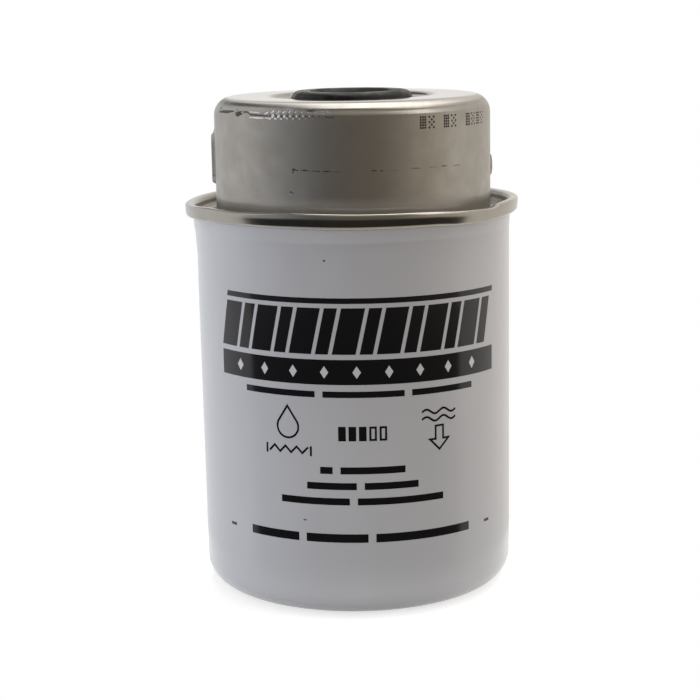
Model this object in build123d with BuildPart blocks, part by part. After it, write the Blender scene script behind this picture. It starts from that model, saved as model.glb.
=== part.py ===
from build123d import *
import os
from math import acos, atan2, cos, hypot, pi, radians, sin, tan

# Diesel fuel filter and water separator cartridge. A drawn can and a narrower
# drawn cap are joined by a double seam, and hold a two-stage pleated element
# between a coil spring and the cap's grommet. Millimetres, +Z up, origin in the
# middle of the ring that the can stands on.

# Lower can
can_radius = 39.0            # outside of the straight wall
can_sheet = 0.5              # thickness of the drawn sheet
can_corner = 6.6             # outside bend between wall and standing ring
standing_ring = 7.0          # width of the flat ring that the can stands on
recess_depth = 10.3          # underside of the bottom panel above the floor
recess_lean = 1.5            # how far the recess wall leans in on its way up
recess_bend = 2.0            # bends at the recess's top and bottom
neck_flare = 1.55            # how much wider the neck is than the wall
neck_flare_height = 4.2      # height over which the wall widens
neck_bend = 3.0              # soft bends at both ends of the flare

# Double seam
seam_top = 98.0              # crown of the seam above the floor
seam_band = 3.3              # height of the seam's outside band
seam_gap = 0.05              # air left between two layers of sheet
crown_room = 0.35            # height for the compound over the body hook
hook_end_room = 0.25         # free height past the tip of each hook

# Upper cap
cap_radius = 34.3            # outside of the cap's wall
cap_sheet = 0.5              # thickness of the drawn sheet
cap_top = 123.0              # top of the cap's shoulder above the floor
cap_corner = 4.5             # outside bend between wall and top
gutter_depth = 4.0           # gutter's floor below the seam's crown
gutter_inner_bend = 1.2      # bend between wall and gutter floor
gutter_outer_bend = 2.0      # bend between gutter floor and seam
panel_radius = 19.5          # flat centre panel of the top
panel_depth = 1.2            # how far the panel is sunk
panel_bend = 0.9             # bends round the panel
key_rise = 0.9               # how far the keys stand out of the wall
key_taper = 40.0             # slope of the keys' sides, degrees
key_rounding = 0.49          # corner radius of a key as a share of its width
long_key_width = 5.4
long_key_height = 13.2
long_key_level = 107.8       # middle of the long key above the floor
long_key_bearing = 180.0     # degrees about +Z from +X
round_key_width = 6.6
round_key_level = 104.7
round_key_bearing = 8.0

# Rubber grommet in the cap, which seals on the outer tube of the head's post
grommet_bore = 9.4
grommet_wall = 2.75          # rubber between bore and the cap's hole
grommet_bead_reach = 2.85    # how far the bead reaches over the cap's hole
grommet_bead_rise = 2.3      # bead above the sunk panel
grommet_bead_bend = 1.6      # rounding of the bead's outer edge
grommet_flange_reach = 1.9
grommet_flange_height = 1.7
grommet_skirt = 6.8          # skirt below the cap's sheet, down to the end plate
grommet_seat_width = 2.2     # width of the skirt's end ring
grommet_lead_in = 1.1        # chamfer of the bore's mouth, twice that of its lower end
fit_gap = 0.05               # room between pieces that are pushed together

# Element
plate_sheet = 0.5            # pressed end plates and tubes
plate_rim = 3.2              # height of the plates' turned rims
plate_bend = 1.0
plate_hole_margin = 1.2      # end plate's hole outside the grommet's bore
potting = 2.0                # thickness of each potting ring
paper = 0.5                  # thickness of the pleated paper
fold_radius = 0.45           # bend of the paper's middle line in each fold
primary_folds = 48
secondary_folds = 42
primary_height = 42.0        # pleat height of the first stage
primary_passage = 4.5        # free ring between can and first stage
secondary_passage = 4.0      # free ring between cap and final stage
media_gap = 0.3              # paper to the rims, tubes and screen round it
primary_tube_radius = 16.0
post_room = 3.1              # between the post's outer tube and the centre tube
perforation = 2.1            # radius of the holes in the centre tubes
perforations_round = 8
primary_perforation_rows = 5
secondary_perforation_rows = 4
screen_sheet = 0.4
screen_window_width = 4.6
screen_window_height = 4.2
screen_windows_round = 20
screen_rows = 5

# Divider and post seal
divider_thickness = 1.6
divider_rim_wall = 1.2
hub_wall = 1.6
hub_lip = 1.0                # lips above and below the seal
hub_lip_reach = 0.9          # how far each lip covers the seal
hub_drop = 2.0               # hub below the divider's underside
seal_bore = 5.9              # seals on the inner tube of the head's post
seal_wall = 3.6
seal_height = 5.0
seal_lead_in = 0.8

# Spring
spring_height = 15.0         # between bottom panel and lower end plate
spring_wire = 0.9            # radius of the wire
spring_radius = 14.8         # radius of the wire's centre line
spring_turns = 3.0
spring_ease = 0.12           # between the wire's ends and the sheet they push on

# Drain
thread_radius = 5.0          # plug's shank, over the thread
thread_clearance = 0.05
thread_pitch = 1.5
drain_turns = 2.0            # full opening
insert_wall = 2.95
insert_height = 8.5          # above the bottom panel's upper face
insert_nose = 1.0            # below the bottom panel
insert_flange_reach = 4.0
insert_flange_height = 1.5
insert_fit = 0.1             # between insert and the can's hole
gasket_height = 1.2
gasket_bore_room = 0.3
gasket_edge = 0.25
plug_head_radius = 10.0
plug_head_height = 4.5
plug_flutes = 8
plug_flute_radius = 2.2
plug_flute_depth = 0.9
plug_edge = 0.6
plug_bore = 1.75             # drilled from the top of the shank
plug_cross_bore = 1.2
barb_reach = 1.0
barb_height = 2.0
barb_stop_room = 0.2         # left under the barb at full opening
barb_slot = 1.4
barb_slot_depth = 6.0


def sheet_ring(points, bends, thickness):
    """Sheet-metal section: one face's outline with its bends, and the face beside it.

    The sheet lies left of the outline, or right of it where the thickness is negative.
    A bend towards the sheet's own side is tighter on the other face by the thickness.
    """
    runs = [(Vector(*end) - Vector(*start)).normalized() for start, end in zip(points, points[1:])]
    lefts = [Vector(-run.Y, run.X) for run in runs]
    facing = list(zip(lefts[:1] + lefts, lefts + lefts[-1:]))
    far_points = [
        Vector(*point) + (before + after) * (thickness / (1 + before.dot(after)))
        for point, (before, after) in zip(points, facing)
    ]
    far_bends = [
        bend - thickness if run.cross(turned).Z > 0 else bend + thickness
        for bend, run, turned in zip(bends, runs, runs[1:])
    ]
    with BuildLine() as outline:
        FilletPolyline(*points, radius=bends)
        FilletPolyline(*far_points, radius=far_bends)
        Line(points[0], far_points[0])
        Line(points[-1], far_points[-1])
    make_face(outline.edges())


def plain_ring(inner, outer, low, high):
    """Rectangular section of a plain ring."""
    with BuildLine() as outline:
        Polyline((inner, low), (outer, low), (outer, high), (inner, high), close=True)
    make_face(outline.edges())


def radial_plane(bearing, level):
    """Plane on the axis that faces outwards, with its own Y pointing up."""
    across = Vector(-sin(bearing), cos(bearing), 0)
    outwards = Vector(cos(bearing), sin(bearing), 0)
    return Plane(origin=(0, 0, level), x_dir=across, z_dir=outwards)


def key_boss(facing, width, height, surface, root, mode):
    """Tapered boss on a wall: as wide as given at the surface, rooted a little under it."""
    spread_out = 2 * root * tan(radians(key_taper))
    across = width + spread_out
    with BuildSketch(facing.offset(surface - root)) as foot:
        RectangleRounded(across, height + spread_out, key_rounding * across)
    extrude(foot.sketch, amount=root + key_rise, taper=key_taper, mode=mode)


def spread(low, high, count):
    """Middle heights of equal rows between two heights."""
    step = (high - low) / count
    return [low + step * (row + 0.5) for row in range(count)]


def pleat_side(folds, inner, outer, outset, mode=Mode.ADD):
    """One face of a folded paper ring: round folds joined by straight flanks.

    The paper's middle line bends round fold centres that lie on two circles.
    The outset moves the outline away from that line, outwards where positive.
    """
    half_pitch = pi / folds
    crest_ring = outer - paper / 2 - fold_radius
    valley_ring = inner + paper / 2 + fold_radius
    step_x = valley_ring * cos(half_pitch) - crest_ring
    step_y = valley_ring * sin(half_pitch)
    flank_normal = atan2(step_y, step_x) - acos(2 * fold_radius / hypot(step_x, step_y))
    crest_bend = fold_radius + outset
    valley_bend = fold_radius - outset

    def point(ring, bearing, reach, direction):
        return (
            ring * cos(bearing) + reach * cos(direction),
            ring * sin(bearing) + reach * sin(direction),
        )

    def crest(turn, direction):
        return point(crest_ring, turn, crest_bend, turn + direction)

    def valley(turn, direction):
        centre = turn + half_pitch
        return point(valley_ring, centre, valley_bend, centre + pi + direction)

    valley_swing = flank_normal - half_pitch
    with BuildLine() as outline:
        for fold in range(folds):
            turn = 2 * half_pitch * fold
            ThreePointArc(crest(turn, -flank_normal), crest(turn, 0), crest(turn, flank_normal))
            Line(crest(turn, flank_normal), valley(turn, valley_swing))
            ThreePointArc(valley(turn, valley_swing), valley(turn, 0), valley(turn, -valley_swing))
            Line(valley(turn, -valley_swing), crest(turn + 2 * half_pitch, -flank_normal))
    make_face(outline.edges(), mode=mode)


def pleat_section(folds, inner, outer):
    """Section of the folded paper, between its two faces."""
    pleat_side(folds, inner, outer, paper / 2)
    pleat_side(folds, inner, outer, -paper / 2, mode=Mode.SUBTRACT)


def perforate(radius, levels, count):
    """Cuts rows of round holes through a centre tube, opposite holes together."""
    for spoke in range(count // 2):
        with BuildSketch(radial_plane(2 * pi * spoke / count, 0)) as holes:
            with Locations(*[(0, level) for level in levels]):
                Circle(perforation)
        extrude(holes.sketch, amount=radius + plate_sheet, both=True, mode=Mode.SUBTRACT)


# Heights and radii that follow from the sizes above
neck_radius = can_radius + neck_flare
cover_hook_inner = neck_radius + seam_gap
body_hook_inner = cover_hook_inner + cap_sheet + seam_gap
seam_radius = body_hook_inner + can_sheet + seam_gap + cap_sheet
chuck_inner = neck_radius - can_sheet - seam_gap - cap_sheet
seam_hem = seam_top - seam_band
body_arch = seam_top - cap_sheet - crown_room - can_sheet
body_hook_bend = 0.48 * (body_hook_inner - neck_radius)
body_hook_end = seam_hem + cap_sheet + hook_end_room
hem_bend = 0.47 * (seam_radius - cover_hook_inner)
crown_bend = 0.45 * (seam_radius - chuck_inner)
flare_top = seam_hem + can_sheet / 2
flare_bottom = flare_top - neck_flare_height
gutter_floor = seam_top - gutter_depth
panel_level = cap_top - panel_depth
panel_slope = panel_radius + panel_depth

panel_inside = recess_depth + can_sheet
insert_bore = thread_radius + thread_clearance
insert_radius = insert_bore + insert_wall
recess_radius = can_radius - can_corner - standing_ring
insert_bottom = recess_depth - insert_nose
insert_top = panel_inside + insert_height
drain_travel = thread_pitch * drain_turns
gasket_low = insert_bottom - gasket_height

cap_hole = grommet_bore + grommet_wall + fit_gap
grommet_seat = panel_level - cap_sheet - grommet_skirt
plate_hole = grommet_bore + plate_hole_margin

lower_plate_low = panel_inside + spring_height
primary_low = lower_plate_low + plate_sheet + potting
primary_high = primary_low + primary_height
divider_low = primary_high + potting
divider_high = divider_low + divider_thickness
secondary_low = divider_high + potting
upper_plate_low = grommet_seat - plate_sheet
secondary_high = upper_plate_low - potting

primary_rim = can_radius - can_sheet - primary_passage
secondary_rim = cap_radius - cap_sheet - secondary_passage
primary_inside_rim = primary_rim - divider_rim_wall
secondary_inside_rim = secondary_rim - divider_rim_wall
screen_radius = secondary_inside_rim - fit_gap
secondary_tube_radius = grommet_bore + post_room + plate_sheet

seal_radius = seal_bore + seal_wall
hub_low = divider_low - hub_drop
seal_low = hub_low + hub_lip
seal_high = seal_low + seal_height
hub_high = seal_high + hub_lip
hub_radius = seal_radius + fit_gap + hub_wall

# Drawn can with the body hook of the double seam
with BuildPart() as lower_can:
    with BuildSketch(Plane.XZ):
        sheet_ring(
            [
                (insert_radius + insert_fit, recess_depth),
                (recess_radius - recess_lean, recess_depth),
                (recess_radius, 0),
                (can_radius, 0),
                (can_radius, flare_bottom),
                (neck_radius, flare_top),
                (neck_radius, body_arch),
                (body_hook_inner, body_arch),
                (body_hook_inner, body_hook_end),
            ],
            [recess_bend, recess_bend, can_corner, neck_bend, neck_bend, body_hook_bend, body_hook_bend],
            can_sheet,
        )
    revolve(axis=Axis.Z)

# Drawn cap: top, wall, gutter, chuck wall, crown and cover hook in one sheet
with BuildPart() as upper_cap:
    with BuildSketch(Plane.XZ):
        sheet_ring(
            [
                (cap_hole, panel_level),
                (panel_radius, panel_level),
                (panel_slope, cap_top),
                (cap_radius, cap_top),
                (cap_radius, gutter_floor),
                (chuck_inner, gutter_floor),
                (chuck_inner, seam_top),
                (seam_radius, seam_top),
                (seam_radius, seam_hem),
                (cover_hook_inner, seam_hem),
                (cover_hook_inner, body_arch - hook_end_room),
            ],
            [
                panel_bend,
                panel_bend,
                cap_corner,
                gutter_inner_bend,
                gutter_outer_bend,
                crown_bend,
                crown_bend,
                hem_bend,
                hem_bend,
            ],
            -cap_sheet,
        )
    revolve(axis=Axis.Z)
    # Keys pressed out of the wall: each is raised outside and hollow inside
    keys = [
        (long_key_bearing, long_key_level, long_key_width, long_key_height),
        (round_key_bearing, round_key_level, round_key_width, round_key_width),
    ]
    for bearing, level, width, height in keys:
        facing = radial_plane(radians(bearing), level)
        key_boss(facing, width, height, cap_radius, cap_sheet / 2, Mode.ADD)
        inside = [size - 2 * cap_sheet for size in (width, height)]
        key_boss(facing, *inside, cap_radius - cap_sheet, key_rise, Mode.SUBTRACT)

# Sealing compound in the crown of the double seam
with BuildPart() as seam_compound:
    with BuildSketch(Plane.XZ):
        plain_ring(
            neck_radius,
            body_hook_inner,
            body_arch + can_sheet + seam_gap,
            seam_top - cap_sheet - seam_gap,
        )
    revolve(axis=Axis.Z)

# Grommet: bead over the cap's hole, groove, inner flange and skirt to the end plate
with BuildPart() as top_grommet:
    bead_radius = cap_hole + grommet_bead_reach
    bead_top = panel_level + grommet_bead_rise
    sheet_under = panel_level - cap_sheet
    flange_radius = cap_hole + grommet_flange_reach
    flange_under = sheet_under - grommet_flange_height
    seat_radius = grommet_bore + grommet_seat_width
    with BuildSketch(Plane.XZ) as grommet_section:
        with BuildLine():
            Polyline(
                (grommet_bore, grommet_seat + grommet_lead_in / 2),
                (grommet_bore + grommet_lead_in / 2, grommet_seat),
                (seat_radius, grommet_seat),
                (cap_hole - fit_gap, flange_under),
                (flange_radius - grommet_flange_height / 2, flange_under),
                (flange_radius, sheet_under - grommet_flange_height / 2),
                (flange_radius, sheet_under),
                (cap_hole - fit_gap, sheet_under),
                (cap_hole - fit_gap, panel_level),
                (bead_radius, panel_level),
                (bead_radius, bead_top),
                (grommet_bore + grommet_lead_in, bead_top),
                (grommet_bore, bead_top - grommet_lead_in),
                close=True,
            )
        make_face()
        bead_corner = grommet_section.vertices().sort_by_distance((bead_radius, bead_top))[0]
        fillet(bead_corner, radius=grommet_bead_bend)
        mouth = grommet_section.vertices().sort_by_distance(
            (grommet_bore + grommet_lead_in, bead_top)
        )[0]
        fillet(mouth, radius=grommet_lead_in / 2)
    revolve(axis=Axis.Z)

# Pressed plate on top of the element, with a turned-down rim
with BuildPart() as upper_end_plate:
    with BuildSketch(Plane.XZ):
        sheet_ring(
            [
                (plate_hole, grommet_seat),
                (secondary_rim, grommet_seat),
                (secondary_rim, grommet_seat - plate_rim),
            ],
            [plate_bend],
            -plate_sheet,
        )
    revolve(axis=Axis.Z)

with BuildPart() as secondary_potting_top:
    with BuildSketch(Plane.XZ):
        plain_ring(
            secondary_tube_radius + fit_gap,
            screen_radius - screen_sheet - fit_gap,
            secondary_high,
            upper_plate_low,
        )
    revolve(axis=Axis.Z)

# Folded paper of the final stage
with BuildPart() as secondary_media:
    with BuildSketch(Plane.XY.offset(secondary_low)):
        pleat_section(
            secondary_folds,
            secondary_tube_radius + media_gap,
            screen_radius - screen_sheet - media_gap,
        )
    extrude(amount=secondary_high - secondary_low)

with BuildPart() as secondary_potting_bottom:
    with BuildSketch(Plane.XZ):
        plain_ring(
            secondary_tube_radius + fit_gap,
            screen_radius - screen_sheet - fit_gap,
            divider_high,
            secondary_low,
        )
    revolve(axis=Axis.Z)

# Perforated centre tube of the final stage
with BuildPart() as secondary_tube:
    with BuildSketch(Plane.XZ):
        plain_ring(
            secondary_tube_radius - plate_sheet,
            secondary_tube_radius,
            divider_high,
            upper_plate_low,
        )
    revolve(axis=Axis.Z)
    perforate(
        secondary_tube_radius,
        spread(hub_high, secondary_high, secondary_perforation_rows),
        perforations_round,
    )

# Water-repelling screen round the final stage, with rows of windows
with BuildPart() as water_screen:
    with BuildSketch(Plane.XZ):
        plain_ring(
            screen_radius - screen_sheet,
            screen_radius,
            divider_high,
            upper_plate_low,
        )
    revolve(axis=Axis.Z)
    window_levels = spread(secondary_low + plate_rim, secondary_high - plate_rim, screen_rows)
    for spoke in range(screen_windows_round // 2):
        with BuildSketch(radial_plane(2 * pi * spoke / screen_windows_round, 0)):
            with Locations(*[(0, level) for level in window_levels]):
                Rectangle(screen_window_width, screen_window_height)
        extrude(amount=screen_radius + screen_sheet, both=True, mode=Mode.SUBTRACT)

# Moulded divider: rims for both stages and a hub with a groove for the post seal
with BuildPart() as divider_plate:
    with BuildSketch(Plane.XZ):
        plain_ring(hub_radius - hub_wall, primary_rim, divider_low, divider_high)
        plain_ring(primary_inside_rim, primary_rim, divider_low - plate_rim, divider_low)
        plain_ring(secondary_inside_rim, secondary_rim, divider_high, divider_high + plate_rim)
        plain_ring(hub_radius - hub_wall, hub_radius, hub_low, hub_high)
        plain_ring(seal_radius - hub_lip_reach, hub_radius, hub_low, seal_low)
        plain_ring(seal_radius - hub_lip_reach, hub_radius, seal_high, hub_high)
    revolve(axis=Axis.Z)

# Rubber ring in the divider's hub
with BuildPart() as post_seal:
    with BuildSketch(Plane.XZ):
        with BuildLine():
            Polyline(
                (seal_bore, seal_low + seal_lead_in),
                (seal_bore + seal_lead_in, seal_low),
                (seal_radius, seal_low),
                (seal_radius, seal_high),
                (seal_bore + seal_lead_in, seal_high),
                (seal_bore, seal_high - seal_lead_in),
                close=True,
            )
        make_face()
    revolve(axis=Axis.Z)

with BuildPart() as primary_potting_top:
    with BuildSketch(Plane.XZ):
        plain_ring(
            primary_tube_radius + fit_gap,
            primary_inside_rim - fit_gap,
            primary_high,
            divider_low,
        )
    revolve(axis=Axis.Z)

# Folded paper of the first stage
with BuildPart() as primary_media:
    with BuildSketch(Plane.XY.offset(primary_low)):
        pleat_section(
            primary_folds,
            primary_tube_radius + media_gap,
            primary_inside_rim - media_gap,
        )
    extrude(amount=primary_height)

with BuildPart() as primary_potting_bottom:
    with BuildSketch(Plane.XZ):
        plain_ring(
            primary_tube_radius + fit_gap,
            primary_rim - plate_bend - fit_gap,
            primary_low - potting,
            primary_low,
        )
    revolve(axis=Axis.Z)

# Perforated centre tube of the first stage
with BuildPart() as primary_tube:
    with BuildSketch(Plane.XZ):
        plain_ring(
            primary_tube_radius - plate_sheet,
            primary_tube_radius,
            lower_plate_low + plate_sheet,
            divider_low,
        )
    revolve(axis=Axis.Z)
    perforate(
        primary_tube_radius,
        spread(primary_low, primary_high - plate_rim, primary_perforation_rows),
        perforations_round,
    )

# Pressed plate that closes the element below, with a bead that centres the spring
with BuildPart() as lower_end_plate:
    bead_outer = spring_radius - spring_wire - spring_ease
    bead_depth = 2 * plate_sheet
    with BuildSketch(Plane.XZ):
        sheet_ring(
            [
                (0, lower_plate_low),
                (bead_outer - 4 * bead_depth, lower_plate_low),
                (bead_outer - 3 * bead_depth, lower_plate_low - bead_depth),
                (bead_outer - bead_depth, lower_plate_low - bead_depth),
                (bead_outer, lower_plate_low),
                (primary_rim, lower_plate_low),
                (primary_rim, lower_plate_low + plate_rim),
            ],
            [plate_sheet, plate_sheet * 1.2, plate_sheet * 1.2, plate_sheet, plate_bend],
            plate_sheet,
        )
    revolve(axis=Axis.Z)

# Coil spring between the can's bottom panel and the element
with BuildPart() as element_spring:
    coil_low = panel_inside + spring_wire + spring_ease
    coil_height = spring_height - 2 * (spring_wire + spring_ease)
    with BuildLine(Plane.XY.offset(coil_low)) as coil:
        Helix(coil_height / spring_turns, coil_height, spring_radius)
    with BuildSketch(Plane(origin=coil.line @ 0, z_dir=coil.line % 0)):
        Circle(spring_wire)
    sweep(path=coil.line, is_frenet=True)

# Threaded insert welded on the bottom panel
with BuildPart() as drain_insert:
    with BuildSketch(Plane.XZ):
        plain_ring(insert_bore, insert_radius, insert_bottom, insert_top)
        plain_ring(
            insert_bore,
            insert_radius + insert_flange_reach,
            panel_inside,
            panel_inside + insert_flange_height,
        )
    revolve(axis=Axis.Z)

# Flat gasket between the plug's head and the insert
with BuildPart() as drain_gasket:
    with BuildSketch(Plane.XZ) as gasket_section:
        plain_ring(
            thread_radius + gasket_bore_room,
            insert_radius,
            gasket_low,
            insert_bottom,
        )
        chamfer(gasket_section.vertices(), length=gasket_edge)
    revolve(axis=Axis.Z)

# Drain plug: fluted head, drilled shank and a split barb that stops it when open
with BuildPart() as drain_plug:
    barb_low = insert_top + drain_travel + barb_stop_room
    barb_radius = thread_radius + barb_reach
    shank_top = barb_low + barb_height
    cross_level = insert_bottom + 1.2 * plug_cross_bore
    with BuildSketch(Plane.XY.offset(gasket_low - plug_head_height)):
        Circle(plug_head_radius)
        with PolarLocations(
            plug_head_radius + plug_flute_radius - plug_flute_depth, plug_flutes
        ):
            Circle(plug_flute_radius, mode=Mode.SUBTRACT)
    extrude(amount=plug_head_height)
    chamfer(drain_plug.faces().sort_by(Axis.Z)[0].edges(), length=plug_edge)
    with BuildSketch(Plane.XZ):
        with BuildLine():
            Polyline(
                (0, gasket_low),
                (thread_radius, gasket_low),
                (thread_radius, barb_low),
                (barb_radius, barb_low),
                (barb_radius, barb_low + barb_height / 4),
                (thread_radius - barb_reach, shank_top),
                (0, shank_top),
                close=True,
            )
        make_face()
    revolve(axis=Axis.Z)
    with BuildSketch(Plane.XY.offset(shank_top)):
        Circle(plug_bore)
    extrude(amount=cross_level - shank_top, mode=Mode.SUBTRACT)
    with BuildSketch(Plane.YZ.offset(-thread_radius)):
        with Locations((0, cross_level)):
            Circle(plug_cross_bore)
    extrude(amount=2 * thread_radius, mode=Mode.SUBTRACT)
    with BuildSketch(Plane.XY.offset(shank_top)):
        Rectangle(barb_slot, 3 * thread_radius)
    extrude(amount=-barb_slot_depth, mode=Mode.SUBTRACT)

pieces = {
    "lower_can": lower_can,
    "upper_cap": upper_cap,
    "seam_compound": seam_compound,
    "top_grommet": top_grommet,
    "upper_end_plate": upper_end_plate,
    "secondary_potting_top": secondary_potting_top,
    "secondary_media": secondary_media,
    "secondary_tube": secondary_tube,
    "water_screen": water_screen,
    "secondary_potting_bottom": secondary_potting_bottom,
    "divider_plate": divider_plate,
    "post_seal": post_seal,
    "primary_potting_top": primary_potting_top,
    "primary_media": primary_media,
    "primary_tube": primary_tube,
    "primary_potting_bottom": primary_potting_bottom,
    "lower_end_plate": lower_end_plate,
    "element_spring": element_spring,
    "drain_insert": drain_insert,
    "drain_gasket": drain_gasket,
    "drain_plug": drain_plug,
}

os.makedirs("parts", exist_ok=True)
for name, piece in pieces.items():
    piece.part.label = name
    export_step(piece.part, f"parts/{name}.step")
    print(f"{name}: {piece.part.volume:.1f} mm3")
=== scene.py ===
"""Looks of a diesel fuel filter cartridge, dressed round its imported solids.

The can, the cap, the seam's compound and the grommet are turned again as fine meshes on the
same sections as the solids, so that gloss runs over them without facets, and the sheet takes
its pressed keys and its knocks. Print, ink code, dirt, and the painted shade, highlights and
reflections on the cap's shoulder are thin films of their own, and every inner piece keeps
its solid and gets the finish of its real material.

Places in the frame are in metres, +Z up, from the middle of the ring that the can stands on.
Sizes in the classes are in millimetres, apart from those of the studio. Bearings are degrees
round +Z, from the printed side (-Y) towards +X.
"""

import logging
import random
from dataclasses import dataclass, field
from enum import Enum
from math import atan2, ceil, cos, degrees, floor, pi, radians, sin, tan
from typing import Callable, Iterable, Sequence

import bmesh
import bpy
import numpy as np
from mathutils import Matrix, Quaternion, Vector


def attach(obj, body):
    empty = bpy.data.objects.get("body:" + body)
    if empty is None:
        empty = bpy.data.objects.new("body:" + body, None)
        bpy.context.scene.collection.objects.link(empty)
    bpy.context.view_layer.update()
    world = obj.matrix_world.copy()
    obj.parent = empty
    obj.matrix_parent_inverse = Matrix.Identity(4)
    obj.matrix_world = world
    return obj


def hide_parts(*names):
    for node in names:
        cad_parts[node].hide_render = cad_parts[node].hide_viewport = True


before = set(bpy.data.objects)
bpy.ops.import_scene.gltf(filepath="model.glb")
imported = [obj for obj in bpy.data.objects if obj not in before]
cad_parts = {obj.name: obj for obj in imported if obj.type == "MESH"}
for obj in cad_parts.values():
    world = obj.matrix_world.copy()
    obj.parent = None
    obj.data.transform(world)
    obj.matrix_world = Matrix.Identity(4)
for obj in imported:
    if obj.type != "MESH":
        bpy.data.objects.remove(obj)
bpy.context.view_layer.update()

MM = 0.001
TO_MM = 1000.0
ARC_STEP = 15.0
CREASE = 35.0
RANDOM_SEED = 41

Point = tuple[float, float]
Span = tuple[float, float]
Triple = tuple[float, float, float]
Socket = bpy.types.NodeSocket
Node = bpy.types.Node
Tree = bpy.types.NodeTree
Array = np.ndarray
Reshape = Callable[[Array, Array, Array], tuple[Array, Array]]
Wall = Callable[[float, float, float], Point]

log = logging.getLogger("fuel_filter")


class Body(Enum):
    """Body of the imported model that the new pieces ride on."""

    CARTRIDGE = "cartridge"


class Slot(Enum):
    """Names of material slots, passed along with the new pieces."""

    ENAMEL = "can_enamel"
    TINPLATE = "tinplate"
    SEALANT = "seam_rubber"
    RUBBER = "nitrile_rubber"


# Shader nodes


def linear(hex_colour: str) -> tuple[float, float, float, float]:
    """Turns an sRGB hex colour into linear red, green, blue and alpha.

    Args:
        hex_colour: Six hex digits, with no mark in front.

    Returns:
        The linear colour, fully opaque.
    """
    shares = [int(hex_colour[place:place + 2], 16) / 255 for place in (0, 2, 4)]
    red, green, blue = [
        share / 12.92 if share <= 0.04045 else ((share + 0.055) / 1.055) ** 2.4 for share in shares
    ]
    return red, green, blue, 1.0


def in_use(sockets: Iterable[Socket], name: str | None = None) -> Socket:
    """Gives the first socket in use, of that name where one is given."""
    return next(socket for socket in sockets if socket.enabled and name in (None, socket.name))


def add_node(tree: Tree, kind: str, inputs: dict | None = None, **settings: object) -> Node:
    """Adds a shader node with its settings, plain values and links.

    Args:
        tree: Node tree that gets the node.
        kind: Blender's name of the node's type, without ShaderNode in front.
        inputs: What each input gets, by the input's name or number: a plain value, a socket,
            or a node, which stands for its first output in use.
        **settings: The node's own settings, such as its operation.

    Returns:
        The new node.
    """
    node = tree.nodes.new(f"ShaderNode{kind}")
    for name, setting in settings.items():
        setattr(node, name, setting)
    for key, given in (inputs or {}).items():
        socket = node.inputs[key] if isinstance(key, int) else in_use(node.inputs, key)
        source = in_use(given.outputs) if isinstance(given, Node) else given
        if isinstance(source, Socket):
            tree.links.new(source, socket)
        else:
            socket.default_value = source
    return node


# Finishes


@dataclass(frozen=True)
class Finish:
    """A real material and how its surface was made."""

    name: str
    colour: str
    roughness: float
    metallic: float = 0.0
    ior: float = 1.5
    specular: float = 0.5

    def make(self) -> bpy.types.Material:
        """Makes the material at its first use, and gives the same one after that.

        Returns:
            The material, with its pattern in nodes.
        """
        made = bpy.data.materials.get(self.name)
        if made is not None:
            return made
        made = bpy.data.materials.new(self.name)
        made.use_nodes = True
        tree = made.node_tree
        tree.nodes.clear()
        plain = {
            "Base Color": linear(self.colour),
            "Roughness": self.roughness,
            "Metallic": self.metallic,
            "IOR": self.ior,
            "Specular IOR Level": self.specular,
        }
        shader = add_node(tree, "BsdfPrincipled", plain | self.pattern(tree))
        add_node(tree, "OutputMaterial", {"Surface": self.surface(tree, shader)})
        return made

    def pattern(self, tree: Tree) -> dict[str, object]:
        """Draws the surface's own pattern.

        Args:
            tree: The material's nodes.

        Returns:
            What each input of the Principled shader gets.
        """
        raise NotImplementedError

    def surface(self, tree: Tree, shader: Node) -> Node:
        """Gives the node that ends in the material's output, here the shader itself."""
        return shader

    def place(self, tree: Tree, *grain_mm: float) -> Node:
        """Gives the place on the piece, counted in grains of a real size.

        Args:
            tree: The material's nodes.
            *grain_mm: Size of a grain in millimetres, or its sizes along X, Y and Z.

        Returns:
            The node whose vector steps by 1 from grain to grain.
        """
        sizes = grain_mm * 3 if len(grain_mm) == 1 else grain_mm
        spot = add_node(tree, "TexCoord").outputs["Object"]
        counts = {0: spot, 1: [TO_MM / size for size in sizes]}
        return add_node(tree, "VectorMath", counts, operation="MULTIPLY")

    def grains(self, tree: Tree, *grain_mm: float, detail: float = 2.0) -> Node:
        """Gives values that swell and fade unevenly from grain to grain.

        Args:
            tree: The material's nodes.
            *grain_mm: Size of a grain, as in place.
            detail: How many times finer grains are laid over the first.

        Returns:
            The node with the values, from 0 to 1.
        """
        where = self.place(tree, *grain_mm)
        return add_node(tree, "TexNoise", {"Vector": where, "Scale": 1.0, "Detail": detail})

    def clouded(self, tree: Tree, second: str, *grain_mm: float, detail: float = 2.0) -> Node:
        """Lets the colour drift into a second one in clouds.

        Args:
            tree: The material's nodes.
            second: The second colour, as six hex digits.
            *grain_mm: Size of a cloud, as in place.
            detail: How many times finer clouds are laid over the first.

        Returns:
            The node with the colour.
        """
        clouds = self.grains(tree, *grain_mm, detail=detail)
        tones = {"Factor": clouds, "A": linear(self.colour), "B": linear(second)}
        return add_node(tree, "Mix", tones, data_type="RGBA")

    def embossed(self, tree: Tree, height: float, *grain_mm: float, detail: float = 2.0) -> Node:
        """Raises the skin in grains.

        Args:
            tree: The material's nodes.
            height: Height of the grains in millimetres.
            *grain_mm: Size of a grain, as in place.
            detail: How many times finer grains are laid over the first.

        Returns:
            The node with the skin's normal.
        """
        grains = self.grains(tree, *grain_mm, detail=detail)
        return add_node(tree, "Bump", {"Height": grains, "Distance": height * MM})


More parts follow.
